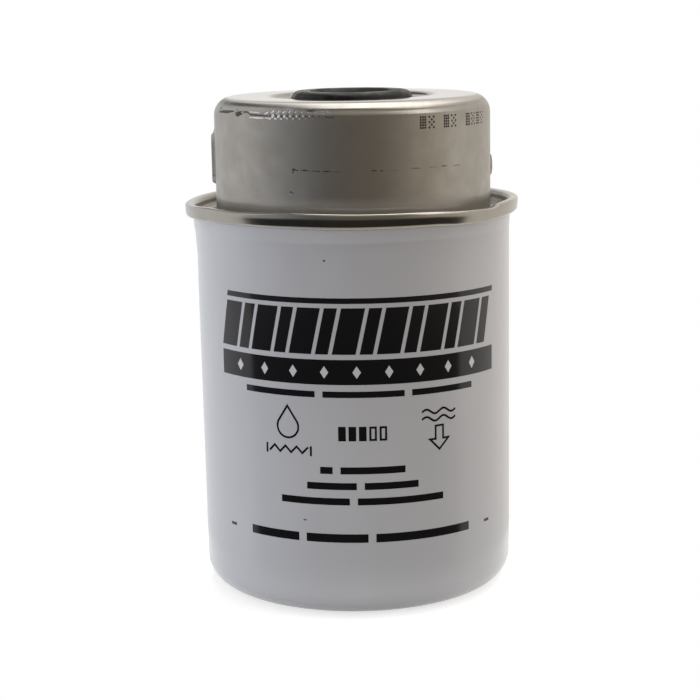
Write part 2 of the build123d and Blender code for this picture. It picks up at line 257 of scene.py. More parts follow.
@dataclass(frozen=True)
class BakedEnamel(Finish):
    """Polyester enamel, roller-coated on sheet and baked."""

    specular: float = 0.05
    cloud: str = "BEBFC3"
    cloud_mm: float = 24.0
    peel_mm: float = 1.4
    peel_height_mm: float = 0.0008
    skin_roughness: float = 0.25
    skin_ior: float = 1.43

    def pattern(self, tree: Tree) -> dict[str, object]:
        """Draws faint clouds in the grey, orange peel and the satin skin.

        Args:
            tree: The material's nodes.

        Returns:
            What each input of the Principled shader gets.
        """
        return {
            "Base Color": self.clouded(tree, self.cloud, self.cloud_mm),
            "Coat Weight": 1.0,
            "Coat Roughness": self.skin_roughness,
            "Coat IOR": self.skin_ior,
            "Normal": self.embossed(tree, self.peel_height_mm, self.peel_mm, detail=1.0),
        }


@dataclass(frozen=True)
class DrawnTinplate(Finish):
    """Tinned steel sheet after deep drawing, with a rolled seam and a flat top left bright."""

    dull: str = "9A958D"
    # Real draw lines are finer than a pixel of the render: these are a little wider than one
    line_mm: float = 0.3
    line_length_mm: float = 16.0
    line_height_mm: float = 0.0008
    mottle_mm: float = 4.5
    mottle_low: float = 0.3
    mottle_high: float = 0.7
    uneven: float = 0.04
    seam_reach_mm: Span = (38.4, 39.6)
    burnished_roughness: float = 0.12
    top_reach_mm: Span = (30.6, 31.6)
    top_roughness: float = 0.06
    # Painted light: below these levels and inside these reaches the gutter is only partly metallic, so its
    # base colour brightens the dark mirror images there
    gutter_level_mm: Span = (98.6, 101.5)
    gutter_reach_mm: Span = (39.6, 40.2)
    gutter_metallic: float = 0.35
    stretch: float = 1.0

    def pattern(self, tree: Tree) -> dict[str, object]:
        """Draws draw lines, mottled tin, a burnished seam, a bright flat top and a gutter brightened by
        painted light.

        Args:
            tree: The material's nodes.

        Returns:
            What each input of the Principled shader gets.
        """
        spot = self.place(tree, 1.0)
        level = add_node(tree, "SeparateXYZ", {0: spot}).outputs["Z"]
        flat = add_node(tree, "VectorMath", {0: spot, 1: (1.0, 1.0, 0.0)}, operation="MULTIPLY")
        reach = add_node(tree, "VectorMath", {0: flat}, operation="LENGTH")
        on_seam, off_top, above_gutter, outside_gutter = [
            add_node(
                tree,
                "MapRange",
                {"Value": value, "From Min": start, "From Max": end, "To Min": least},
                interpolation_type="SMOOTHSTEP",
            )
            for value, (start, end), least in (
                (reach, self.seam_reach_mm, 0.0),
                (reach, self.top_reach_mm, 0.0),
                (level, self.gutter_level_mm, self.gutter_metallic),
                (reach, self.gutter_reach_mm, self.gutter_metallic),
            )
        ]
        mottle = self.grains(tree, self.mottle_mm)
        tones = {"Factor": mottle, "A": linear(self.colour), "B": linear(self.dull)}
        limits = {
            "Value": mottle,
            "From Min": self.mottle_low,
            "From Max": self.mottle_high,
            "To Min": self.roughness - self.uneven / 2,
            "To Max": self.roughness + self.uneven / 2,
        }
        satin = add_node(tree, "MapRange", limits)
        burnished = {"Factor": on_seam, "A": satin, "B": self.burnished_roughness}
        sides = add_node(tree, "Mix", burnished, data_type="FLOAT")
        bright = {"Factor": off_top, "A": self.top_roughness, "B": sides}
        line = (self.line_mm, self.line_mm, self.line_length_mm)
        return {
            "Base Color": add_node(tree, "Mix", tones, data_type="RGBA"),
            # Painted light: only partly metallic in the gutter, so its base colour brightens it
            "Metallic": add_node(tree, "Math", {0: above_gutter, 1: outside_gutter}, operation="MAXIMUM"),
            "Roughness": add_node(tree, "Mix", bright, data_type="FLOAT"),
            "Anisotropic": self.stretch,
            "Tangent": add_node(tree, "Tangent", direction_type="RADIAL", axis="Z"),
            "Normal": self.embossed(tree, self.line_height_mm, *line, detail=3.0),
        }


@dataclass(frozen=True)
class LacqueredSteel(Finish):
    """Drawn steel under a thin epoxy lacquer, as cans have inside."""

    deep: str = "8E7A4C"
    flow_mm: float = 9.0
    flow_height_mm: float = 0.004
    lacquer: float = 0.6
    lacquer_roughness: float = 0.12

    def pattern(self, tree: Tree) -> dict[str, object]:
        """Draws the lacquer's uneven depth of colour and its skin.

        Args:
            tree: The material's nodes.

        Returns:
            What each input of the Principled shader gets.
        """
        return {
            "Base Color": self.clouded(tree, self.deep, self.flow_mm, detail=3.0),
            "Coat Weight": self.lacquer,
            "Coat Roughness": self.lacquer_roughness,
            "Normal": self.embossed(tree, self.flow_height_mm, self.flow_mm, detail=3.0),
        }


@dataclass(frozen=True)
class MouldedNitrile(Finish):
    """Nitrile rubber from a polished steel mould."""

    specular: float = 0.2
    bloom: str = "2B2921"
    bloom_mm: float = 3.5
    bloom_low: float = 0.35
    bloom_high: float = 0.7
    bloom_roughness: float = 0.7
    # A polished mould leaves finer marks: these are about two thirds of a pixel of the render
    skin_mm: float = 0.16
    skin_height_mm: float = 0.003

    def pattern(self, tree: Tree) -> dict[str, object]:
        """Draws bloom in patches, and a gloss that is lost where it lies.

        Args:
            tree: The material's nodes.

        Returns:
            What each input of the Principled shader gets.
        """
        cloud = self.grains(tree, self.bloom_mm, detail=4.0)
        patches = add_node(
            tree,
            "MapRange",
            {"Value": cloud, "From Min": self.bloom_low, "From Max": self.bloom_high},
            interpolation_type="SMOOTHSTEP",
        )
        tones = {"Factor": patches, "A": linear(self.colour), "B": linear(self.bloom)}
        rough = {"Value": patches, "To Min": self.roughness, "To Max": self.bloom_roughness}
        return {
            "Base Color": add_node(tree, "Mix", tones, data_type="RGBA"),
            "Roughness": add_node(tree, "MapRange", rough),
            "Normal": self.embossed(tree, self.skin_height_mm, self.skin_mm),
        }


@dataclass(frozen=True)
class RolledSteel(Finish):
    """Cold-rolled or drawn steel stock, with the marks of its rolling and pressing oil."""

    stain: str = "7D7B77"
    stain_mm: float = 7.0
    # Real roll lines are finer than a pixel of the render: these are about as wide as one
    line_mm: float = 0.25
    line_length_mm: float = 22.0
    line_height_mm: float = 0.003
    line_low: float = 0.25
    line_high: float = 0.75
    smoother: float = 0.06
    rougher: float = 0.1

    def pattern(self, tree: Tree) -> dict[str, object]:
        """Draws roll lines along X and the stains of pressing oil.

        Args:
            tree: The material's nodes.

        Returns:
            What each input of the Principled shader gets.
        """
        lines = self.grains(tree, self.line_length_mm, self.line_mm, self.line_mm, detail=3.0)
        rough = {
            "Value": lines,
            "From Min": self.line_low,
            "From Max": self.line_high,
            "To Min": self.roughness - self.smoother,
            "To Max": self.roughness + self.rougher,
        }
        raised = {"Height": lines, "Distance": self.line_height_mm * MM}
        return {
            "Base Color": self.clouded(tree, self.stain, self.stain_mm, detail=4.0),
            "Roughness": add_node(tree, "MapRange", rough),
            "Normal": add_node(tree, "Bump", raised),
        }


@dataclass(frozen=True)
class TurnedZincSteel(Finish):
    """Free-cutting steel, turned and zinc plated."""

    tint: str = "B7B9A8"
    # A finishing cut leaves finer rings: these are a little wider than a pixel of the render
    ring_mm: float = 0.3
    ring_length_mm: float = 60.0
    ring_height_mm: float = 0.012
    cloud_mm: float = 5.0

    def pattern(self, tree: Tree) -> dict[str, object]:
        """Draws the tool's rings and the passivation's faint change of tint.

        Args:
            tree: The material's nodes.

        Returns:
            What each input of the Principled shader gets.
        """
        ring = (self.ring_length_mm, self.ring_length_mm, self.ring_mm)
        return {
            "Base Color": self.clouded(tree, self.tint, self.cloud_mm),
            "Normal": self.embossed(tree, self.ring_height_mm, *ring, detail=1.0),
        }


@dataclass(frozen=True)
class PleatedPaper(Finish):
    """Resin-treated filter paper, corrugated and folded."""

    resin: str = "A9823E"
    fibre: str = "E2CC93"
    soak_mm: float = 8.0
    soak_length_mm: float = 14.0
    # Single fibres are too fine to show: these are clumps of them
    fibre_mm: float = 0.35
    fibre_height_mm: float = 0.03
    fibre_share: float = 0.35
    rib_mm: float = 2.4
    rib_height_mm: float = 0.12

    def pattern(self, tree: Tree) -> dict[str, object]:
        """Draws fibres, the uneven take-up of resin and the ribs pressed across the folds.

        Args:
            tree: The material's nodes.

        Returns:
            What each input of the Principled shader gets.
        """
        fibres = self.grains(tree, self.fibre_mm, detail=5.0)
        share = add_node(tree, "Math", {0: fibres, 1: self.fibre_share}, operation="MULTIPLY")
        soak = (self.soak_mm, self.soak_mm, self.soak_length_mm)
        soaked = self.clouded(tree, self.resin, *soak, detail=3.0)
        tones = {"Factor": share, "A": soaked, "B": linear(self.fibre)}
        level = add_node(tree, "SeparateXYZ", {0: self.place(tree, self.rib_mm)}).outputs["Z"]
        turn = add_node(tree, "Math", {0: level, 1: 2 * pi}, operation="MULTIPLY")
        ribs = add_node(tree, "Math", {0: turn}, operation="SINE")
        ribbed = add_node(tree, "Bump", {"Height": ribs, "Distance": self.rib_height_mm / 2 * MM})
        raised = {"Height": fibres, "Distance": self.fibre_height_mm * MM, "Normal": ribbed}
        return {
            "Base Color": add_node(tree, "Mix", tones, data_type="RGBA"),
            "Normal": add_node(tree, "Bump", raised),
        }


@dataclass(frozen=True)
class PouredPlastisol(Finish):
    """Plastisol poured as a paste and cured."""

    deep: str = "8E2F12"
    pool_mm: float = 6.0
    ripple_mm: float = 3.0
    ripple_height_mm: float = 0.05

    def pattern(self, tree: Tree) -> dict[str, object]:
        """Draws the flow's ripples and its deeper colour where it pooled.

        Args:
            tree: The material's nodes.

        Returns:
            What each input of the Principled shader gets.
        """
        return {
            "Base Color": self.clouded(tree, self.deep, self.pool_mm),
            "Normal": self.embossed(tree, self.ripple_height_mm, self.ripple_mm, detail=1.0),
        }


@dataclass(frozen=True)
class MouldedNylon(Finish):
    """Injection-moulded nylon."""

    flow_colour: str = "CFC8AE"
    flow_mm: float = 12.0
    flow_layer_mm: float = 3.0
    # Spark erosion leaves finer pits: these are a little narrower than a pixel of the render
    spark_mm: float = 0.2
    spark_height_mm: float = 0.01

    def pattern(self, tree: Tree) -> dict[str, object]:
        """Draws flow marks and the mould's spark-eroded skin.

        Args:
            tree: The material's nodes.

        Returns:
            What each input of the Principled shader gets.
        """
        flow = (self.flow_mm, self.flow_mm, self.flow_layer_mm)
        return {
            "Base Color": self.clouded(tree, self.flow_colour, *flow, detail=3.0),
            "Normal": self.embossed(tree, self.spark_height_mm, self.spark_mm),
        }


@dataclass(frozen=True)
class ThreadedNylon(MouldedNylon):
    """Black moulded nylon whose shank carries a moulded thread."""

    pitch_mm: float = 1.5
    thread_depth_mm: float = 0.35
    shank_mm: float = 5.4
    shank_edge_mm: float = 0.3

    def pattern(self, tree: Tree) -> dict[str, object]:
        """Draws the thread's turns on the shank over the moulded skin.

        Args:
            tree: The material's nodes.

        Returns:
            What each input of the Principled shader gets.
        """
        looks = super().pattern(tree)
        spot = add_node(tree, "SeparateXYZ", {0: self.place(tree, 1.0)})
        across, deep, high = spot.outputs
        bearing = add_node(tree, "Math", {0: deep, 1: across}, operation="ARCTAN2")
        turn = {0: bearing, 1: self.pitch_mm / (2 * pi), 2: high}
        climb = add_node(tree, "Math", turn, operation="MULTIPLY_ADD")
        flank = add_node(tree, "Math", {0: climb, 1: self.pitch_mm / 2}, operation="PINGPONG")
        flat = add_node(tree, "CombineXYZ", {"X": across, "Y": deep})
        on_shank = {
            "Value": add_node(tree, "VectorMath", {0: flat}, operation="LENGTH"),
            "From Min": self.shank_mm - self.shank_edge_mm,
            "From Max": self.shank_mm,
            "To Min": 2 / self.pitch_mm,
            "To Max": 0.0,
        }
        shank = add_node(tree, "MapRange", on_shank)
        raised = {
            "Height": add_node(tree, "Math", {0: flank, 1: shank}, operation="MULTIPLY"),
            "Distance": self.thread_depth_mm * MM,
            "Normal": looks["Normal"],
        }
        return looks | {"Normal": add_node(tree, "Bump", raised)}


@dataclass(frozen=True)
class PrintedInk(Finish):
    """Screen-printed ink under a clear skin of its own."""

    specular: float = 0.05
    # A printing screen is about three times as fine: this is about a pixel and a half of the render
    mesh_mm: float = 0.35
    mesh_height_mm: float = 0.0006
    mesh_roughness: float = 0.5
    skin_roughness: float = 0.12
    skin_ior: float = 1.43

    def pattern(self, tree: Tree) -> dict[str, object]:
        """Draws the faint mark that the screen's mesh left under the clear skin.

        Args:
            tree: The material's nodes.

        Returns:
            What each input of the Principled shader gets.
        """
        mesh = self.grains(tree, self.mesh_mm, detail=1.0)
        rough = {"Value": mesh, "To Min": self.roughness, "To Max": self.mesh_roughness}
        raised = {"Height": mesh, "Distance": self.mesh_height_mm * MM}
        return {
            "Roughness": add_node(tree, "MapRange", rough),
            "Coat Weight": 1.0,
            "Coat Roughness": self.skin_roughness,
            "Coat IOR": self.skin_ior,
            "Normal": add_node(tree, "Bump", raised),
        }


@dataclass(frozen=True)
class PatchyFilm(Finish):
    """A thin film on the skin: dried jet ink and dirt, and also painted shade, highlights and reflections.
    """

    patch_colour: str = "5A4A3E"
    patch_mm: float = 0.5
    thin_low: float = 0.45
    thin_high: float = 0.75
    edge_height_mm: float = 0.004

    def pattern(self, tree: Tree) -> dict[str, object]:
        """Draws patches in the second colour: thin places of dried ink and dirt, uneven places of painted
        light.

        Args:
            tree: The material's nodes.

        Returns:
            What each input of the Principled shader gets.
        """
        cloud = self.grains(tree, self.patch_mm, detail=3.0)
        thin = add_node(
            tree,
            "MapRange",
            {"Value": cloud, "From Min": self.thin_low, "From Max": self.thin_high},
            interpolation_type="SMOOTHSTEP",
        )
        tones = {"Factor": thin, "A": linear(self.colour), "B": linear(self.patch_colour)}
        raised = {"Height": thin, "Distance": self.edge_height_mm * MM}
        return {
            "Base Color": add_node(tree, "Mix", tones, data_type="RGBA"),
            "Normal": add_node(tree, "Bump", raised),
        }


@dataclass(frozen=True)
class StudioBoard(Finish):
    """Matt white board that the cartridge stands on, clear from below."""

    specular: float = 0.0
    lift: float = 0.65
    # Single fibres are too fine to show: these are clumps of them
    fibre_mm: float = 0.8
    fibre_height_mm: float = 0.01

    def pattern(self, tree: Tree) -> dict[str, object]:
        """Draws the board's fibres.

        Args:
            tree: The material's nodes.

        Returns:
            What each input of the Principled shader gets.
        """
        return {"Normal": self.embossed(tree, self.fibre_height_mm, self.fibre_mm)}

    def surface(self, tree: Tree, shader: Node) -> Node:
        """Lifts the board to white where it is seen or mirrored, and leaves its shadow.

        Args:
            tree: The material's nodes.
            shader: The board's own shader.

        Returns:
            The node that ends in the material's output.
        """
        path = add_node(tree, "LightPath").outputs
        seen = path["Is Camera Ray"]
        for ray in ("Is Transmission Ray", "Is Glossy Ray"):
            seen = add_node(tree, "Math", {0: seen, 1: path[ray]}, operation="MAXIMUM")
        strength = add_node(tree, "Math", {0: seen, 1: self.lift}, operation="MULTIPLY")
        glow = add_node(tree, "Emission", {"Color": linear("FFFFFF"), "Strength": strength})
        lifted = add_node(tree, "AddShader", {0: shader, 1: glow})
        under = add_node(tree, "NewGeometry").outputs["Backfacing"]
        clear = add_node(tree, "BsdfTransparent")
        return add_node(tree, "MixShader", {0: under, 1: lifted, 2: clear})


# Baked enamel: an even pale grey under a satin skin, with soft and faint mirror images.
ENAMEL = BakedEnamel("baked_enamel_on_steel", "B4B5BA", roughness=0.45)
# Lacquer over steel: a dull gold that the open post hole shows in the dark.
CAN_LACQUER = LacqueredSteel("lacquered_drawn_steel", "A08A58", roughness=0.34, metallic=1.0)
# Drawn tinplate: a warm grey metal, soft across its upright lines and sharp along them. Its
# flat top is bright and its rolled seam burnished. In the gutter between them it is only partly
# metallic: painted light, as its base colour brightens the dark mirror images there.
TINPLATE = DrawnTinplate("drawn_tinplate", "A8A49D", roughness=0.22, metallic=1.0)
# Moulded nitrile: deep black with a faint brownish bloom and thin lights along its edges.
RUBBER = MouldedNitrile("moulded_nitrile_rubber", "0D0B08", roughness=0.3)
# Cold-rolled plate: a cool grey with straight roll lines.
PLATE = RolledSteel("cold_rolled_steel", "A5A39F", roughness=0.36, metallic=1.0)
# Oil-tempered wire: a dark grey metal with a brownish film.
SPRING = RolledSteel("oil_tempered_wire", "6B6966", roughness=0.4, metallic=1.0, stain="3F3A35")
# Turned and zinc plated: a bright cool metal with fine rings.
ZINC = TurnedZincSteel("zinc_plated_turned_steel", "B9BCC0", roughness=0.28, metallic=1.0)
# Pleated paper: warm, dry and fibrous, with no gloss.
PAPER = PleatedPaper("pleated_filter_paper", "CDAA66", roughness=0.85)
# Poured plastisol: a smooth red-brown with a wet gloss.
POTTING = PouredPlastisol("poured_plastisol", "B9481F", roughness=0.25, ior=1.54)
# Seam compound: a dull grey paste.
COMPOUND = PouredPlastisol("seam_sealing_compound", "8F9088", roughness=0.5, deep="7A7B73")
# Natural nylon: a milky cream with a satin skin.
DIVIDER = MouldedNylon("moulded_natural_nylon", "DDD8C4", roughness=0.4, ior=1.53)
# Screen nylon: a cool white with a satin skin.
SCREEN = MouldedNylon("moulded_screen_nylon", "E0E2DE", roughness=0.38, ior=1.53, flow_colour="D2D5D0")
# Black nylon: near black with a satin skin, and a thread that catches light in thin turns.
PLUG = ThreadedNylon("moulded_black_nylon", "1A1A1C", roughness=0.4, ior=1.53, flow_colour="232326")
# Screen-printed black: dense and even, and glossier than the enamel under it.
BLACK_INK = PrintedInk("screen_printed_black_ink", "101012", roughness=0.3)
# The enamel's grey, printed over the black bar.
PALE_INK = PrintedInk("screen_printed_pale_ink", "C9CACD", roughness=0.4)
# Jet ink: dull brown-black dots, thin at their edges.
JET_INK = PatchyFilm("dried_jet_ink", "2A1F1A", roughness=0.55)
# Dark film: dull grey-black with brown patches. It is dirt on the cap's wall and in the enamel, and painted
# shade along the scrape on the cap's shoulder.
DIRT_AND_PAINTED_SHADE = PatchyFilm("dirt_and_painted_shade", "2E2A28", roughness=0.6, patch_colour="6A6259", patch_mm=0.3)
# Painted reflection: dull lilac patches, with paler ones, on the cap's shiny shoulder.
PAINTED_REFLECTION = PatchyFilm("painted_lilac_reflection", "8A858F", roughness=0.45, patch_colour="AFACB4", patch_mm=0.45)
# Painted highlights: small white patches along the scrape's crease and round its first tooth pits.
PAINTED_HIGHLIGHT = PatchyFilm("painted_white_highlight", "F0ECF2", roughness=0.4, patch_colour="C4BFC6", patch_mm=0.3)
# Thin grime: faint brown smudges.
SMUDGE = PatchyFilm("thin_dried_smudge", "6A6358", roughness=0.5, patch_colour="857D70", patch_mm=0.6)
# Matt board: a pale grey to the light, and white where it is seen or mirrored.
BOARD = StudioBoard("matt_white_board", "D2D2D0", roughness=0.9)


# Meshes


def round_bends(corners: Sequence[Point], bends: Sequence[float], chord: float) -> list[Point]:
    """Rounds a line's inner corners with arcs.

    Args:
        corners: The line's corner points.
        bends: Radius at each inner corner.
        chord: Longest run on an arc, which also turns by ARC_STEP degrees at most.

    Returns:
        The line's points, with each arc as short straight runs.
    """
    points = [corners[0]]
    for before, corner, after, bend in zip(corners, corners[1:], corners[2:], bends):
        here = Vector(corner)
        run = (here - Vector(before)).normalized()
        next_run = (Vector(after) - here).normalized()
        turn = atan2(run.x * next_run.y - run.y * next_run.x, run.dot(next_run))
        start = here - run * (bend * tan(abs(turn) / 2))
        centre = start + Vector((-run.y, run.x)) * (bend if turn > 0 else -bend)
        count = max(2, ceil(abs(turn) / radians(ARC_STEP)), ceil(abs(turn) * bend / chord))
        arm = start - centre
        for place in range(count + 1):
            swing = turn * place / count
            points.append(
                (
                    centre.x + arm.x * cos(swing) - arm.y * sin(swing),
                    centre.y + arm.x * sin(swing) + arm.y * cos(swing),
                )
            )
    points.append(corners[-1])
    return points


def bent_sheet(
    corners: Sequence[Point], bends: Sequence[float], thickness: float, near_chord: float, far_chord: float
) -> tuple[list[Point], list[Point]]:
    """Draws both faces of a bent sheet.

    Args:
        corners: Corner points of the near face.
        bends: Radius of the near face at each inner corner.
        thickness: Thickness of the sheet, positive where it lies left of the near face.
        near_chord: Longest run on an arc of the near face.
        far_chord: Longest run on an arc of the far face.

    Returns:
        The near face's line and the far face's line, both in the near face's direction.
    """
    runs = [(Vector(end) - Vector(start)).normalized() for start, end in zip(corners, corners[1:])]
    lefts = [Vector((-run.y, run.x)) for run in runs]
    far_corners = [
        tuple(Vector(corner) + (before + after) * (thickness / (1 + before.dot(after))))
        for corner, before, after in zip(corners, lefts[:1] + lefts, lefts + lefts[-1:])
    ]
    far_bends = [
        bend - thickness if run.x * turned.y > run.y * turned.x else bend + thickness
        for bend, run, turned in zip(bends, runs, runs[1:])
    ]
    return (round_bends(corners, bends, near_chord), round_bends(far_corners, far_bends, far_chord))


def even_bearings(count: int) -> Array:
    """Gives bearings at even steps round the axis."""
    return np.arange(count) * 360.0 / count - 180.0


def turned_from(middle: float, bearing: Array | float) -> Array | float:
    """Gives how far a bearing, or each of them, is turned from the middle, the short way."""
    return (bearing - middle + 180.0) % 360.0 - 180.0


def turn_section(
    name: str,
    near: Sequence[Point],
    far: Sequence[Point],
    bearings: Array,
    finishes: Sequence[Finish],
    reshape: Reshape | None = None,
) -> bpy.types.Object:
    """Turns a closed section round the axis.

    Args:
        name: Name of the new object.
        near: Line of the section's shown face, as radius and height in millimetres.
        far: Line of its other face, in the same direction.
        bearings: Bearings at which the section stands, in degrees and in order.
        finishes: Finish of the near face, and of the far face where that is another.
        reshape: Takes bearing, radius and height of all points, and gives radius and height.

    Returns:
        The new object, with smooth shading between its sharp edges.
    """
    section = np.array([*near, *reversed(far)])
    count, turns = len(section), len(bearings)
    bearing = np.repeat(bearings, count)
    radius, height = np.tile(section[:, 0], turns), np.tile(section[:, 1], turns)
    if reshape is not None:
        radius, height = reshape(bearing, radius, height)
    swing = np.radians(bearing)
    places = np.column_stack([radius * np.sin(swing), -radius * np.cos(swing), height]) * MM
    faces = []
    skins = []
    for turn in range(turns):
        this, following = turn * count, (turn + 1) % turns * count
        for row in range(count):
            beside = (row + 1) % count
            faces.append((this + row, following + row, following + beside, this + beside))
            skins.append(0 if row < len(near) - 1 else len(finishes) - 1)
    mesh = bpy.data.meshes.new(name)
    mesh.from_pydata(places.tolist(), [], faces)
    mesh.update()
    for finish in finishes:
        mesh.materials.append(finish.make())
    mesh.polygons.foreach_set("material_index", skins)
    tidy_normals(mesh)
    return link(name, mesh)


def tidy_normals(mesh: bpy.types.Mesh) -> None:
    """Turns all faces outwards and shades them smoothly, apart from edges past CREASE degrees.

    Args:
        mesh: The mesh, which is closed.
    """
    work = bmesh.new()
    work.from_mesh(mesh)
    bmesh.ops.recalc_face_normals(work, faces=work.faces)
    work.to_mesh(mesh)
    work.free()
    mesh.shade_smooth()
    mesh.set_sharp_from_angle(angle=radians(CREASE))


def link(name: str, thing: bpy.types.ID) -> bpy.types.Object:
    """Makes an object and links it to the scene.

    Args:
        name: Name of the object.
        thing: Its mesh, lamp or camera.

    Returns:
        The object.
    """
    made = bpy.data.objects.new(name, thing)
    bpy.context.scene.collection.objects.link(made)
    return made


def settle(piece: bpy.types.Object, body: Body, slot: Slot, *replaced: str) -> None:
    """Puts a finished piece on its body and hides the nodes it stands for.

    Args:
        piece: The new piece.
        body: Body that it rides on.
        slot: Not used.
        *replaced: Nodes that it replaces.
    """
    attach(piece, body.value)
    if replaced:
        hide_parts(*replaced)
    log.info("%s: %d faces on %s", piece.name, len(piece.data.polygons), body.value)


class Film:
    """A flat drawing in millimetres, wrapped round a wall as a thin closed film."""

    MERGE_MM = 1e-4

    def __init__(
        self, wall: Wall, arc_radius: float, lift: float, thickness: float, strip: float = 1.2
    ) -> None:
        """Starts an empty drawing.

        Args:
            wall: Gives radius and height of a point over the wall, from its bearing, its
                level and its lift.
            arc_radius: Radius at which lengths along the wall are measured.
            lift: Gap between wall and film.
            thickness: Thickness of the film.
            strip: Widest strip that lies straight on the wall.
        """
        self.wall = wall
        self.arc_radius = arc_radius
        self.lift = lift
        self.thickness = thickness
        self.strip = strip
        self.shapes: list[Sequence[Point]] = []

    def add(self, *shapes: Sequence[Point]) -> None:
        """Adds closed shapes, as corner points along the wall and in level."""
        self.shapes.extend(shapes)

    def build(self, name: str, finish: Finish, lean: float = 0.0) -> bpy.types.Object:
        """Cuts the drawing in narrow strips, gives it thickness and wraps it round the wall.

        Args:
            name: Name of the new object.
            finish: Finish of the film.
            lean: Drop in level for each millimetre along the wall.

        Returns:
            The new object.
        """
        work = bmesh.new()
        for shape in self.shapes:
            work.faces.new([work.verts.new((along, level, 0)) for along, level in shape])
        bmesh.ops.remove_doubles(work, verts=work.verts, dist=self.MERGE_MM)
        places = [vertex.co.x for vertex in work.verts]
        first, last = ceil(min(places) / self.strip), floor(max(places) / self.strip)
        for strip in range(first, last + 1):
            bmesh.ops.bisect_plane(
                work,
                geom=[*work.verts, *work.edges, *work.faces],
                plane_co=(strip * self.strip, 0, 0),
                plane_no=(1, 0, 0),
                dist=self.MERGE_MM,
            )
        bmesh.ops.recalc_face_normals(work, faces=work.faces)
        bmesh.ops.solidify(work, geom=work.faces[:], thickness=self.thickness)
        lowest = min(vertex.co.z for vertex in work.verts)
        for vertex in work.verts:
            along, level, height = vertex.co
            swing = along / self.arc_radius
            lift = self.lift + height - lowest
            radius, height = self.wall(degrees(swing), level - lean * along, lift)
            vertex.co = Vector((radius * sin(swing), -radius * cos(swing), height)) * MM
        mesh = bpy.data.meshes.new(name)
        work.to_mesh(mesh)
        work.free()
        mesh.materials.append(finish.make())
        tidy_normals(mesh)
        return link(name, mesh)


def block(left: float, right: float, low: float, high: float, slant: float = 0.0) -> list[Point]:
    """Draws a four-sided shape whose top is shifted along by the slant."""
    return [(left, low), (right, low), (right + slant, high), (left + slant, high)]


def oval(along: float, level: float, half_width: float, half_height: float, count: int) -> list[Point]:
    """Draws an oval round a middle point."""
    turns = [2 * pi * place / count for place in range(count)]
    return [(along + half_width * cos(turn), level + half_height * sin(turn)) for turn in turns]


def stroke(line: Sequence[Point], width: float, closed: bool = False) -> list[list[Point]]:
    """Gives a line a width.

    Args:
        line: Points that the stroke follows.
        width: Width of the stroke.
        closed: Whether its end joins its start.

    Returns:
        One four-sided shape for each run, joined at mitred corners.
    """
    points = [Vector(point) for point in line]
    ring = points[-1:] + points + points[:1] if closed else points
    runs = [(end - start).normalized() for start, end in zip(ring, ring[1:])]
    lefts = [Vector((-run.y, run.x)) for run in runs]
    before_each, after_each = (lefts, lefts[1:]) if closed else (lefts[:1] + lefts, lefts + lefts[-1:])
    sides = []
    for point, before, after in zip(points, before_each, after_each):
        reach = (before + after) * (width / 2 / (1 + before.dot(after)))
        sides.append((tuple(point + reach), tuple(point - reach)))
    following = sides[1:] + sides[:1] if closed else sides[1:]
    return [[start[0], start[1], end[1], end[0]] for start, end in zip(sides, following)]


# Sub-assemblies


@dataclass(frozen=True)
class Knock:
    """How far the double seam is bent at one bearing."""

    bearing: float
    lip_drop: float
    hem_drop: float
    tuck: float = 0.0


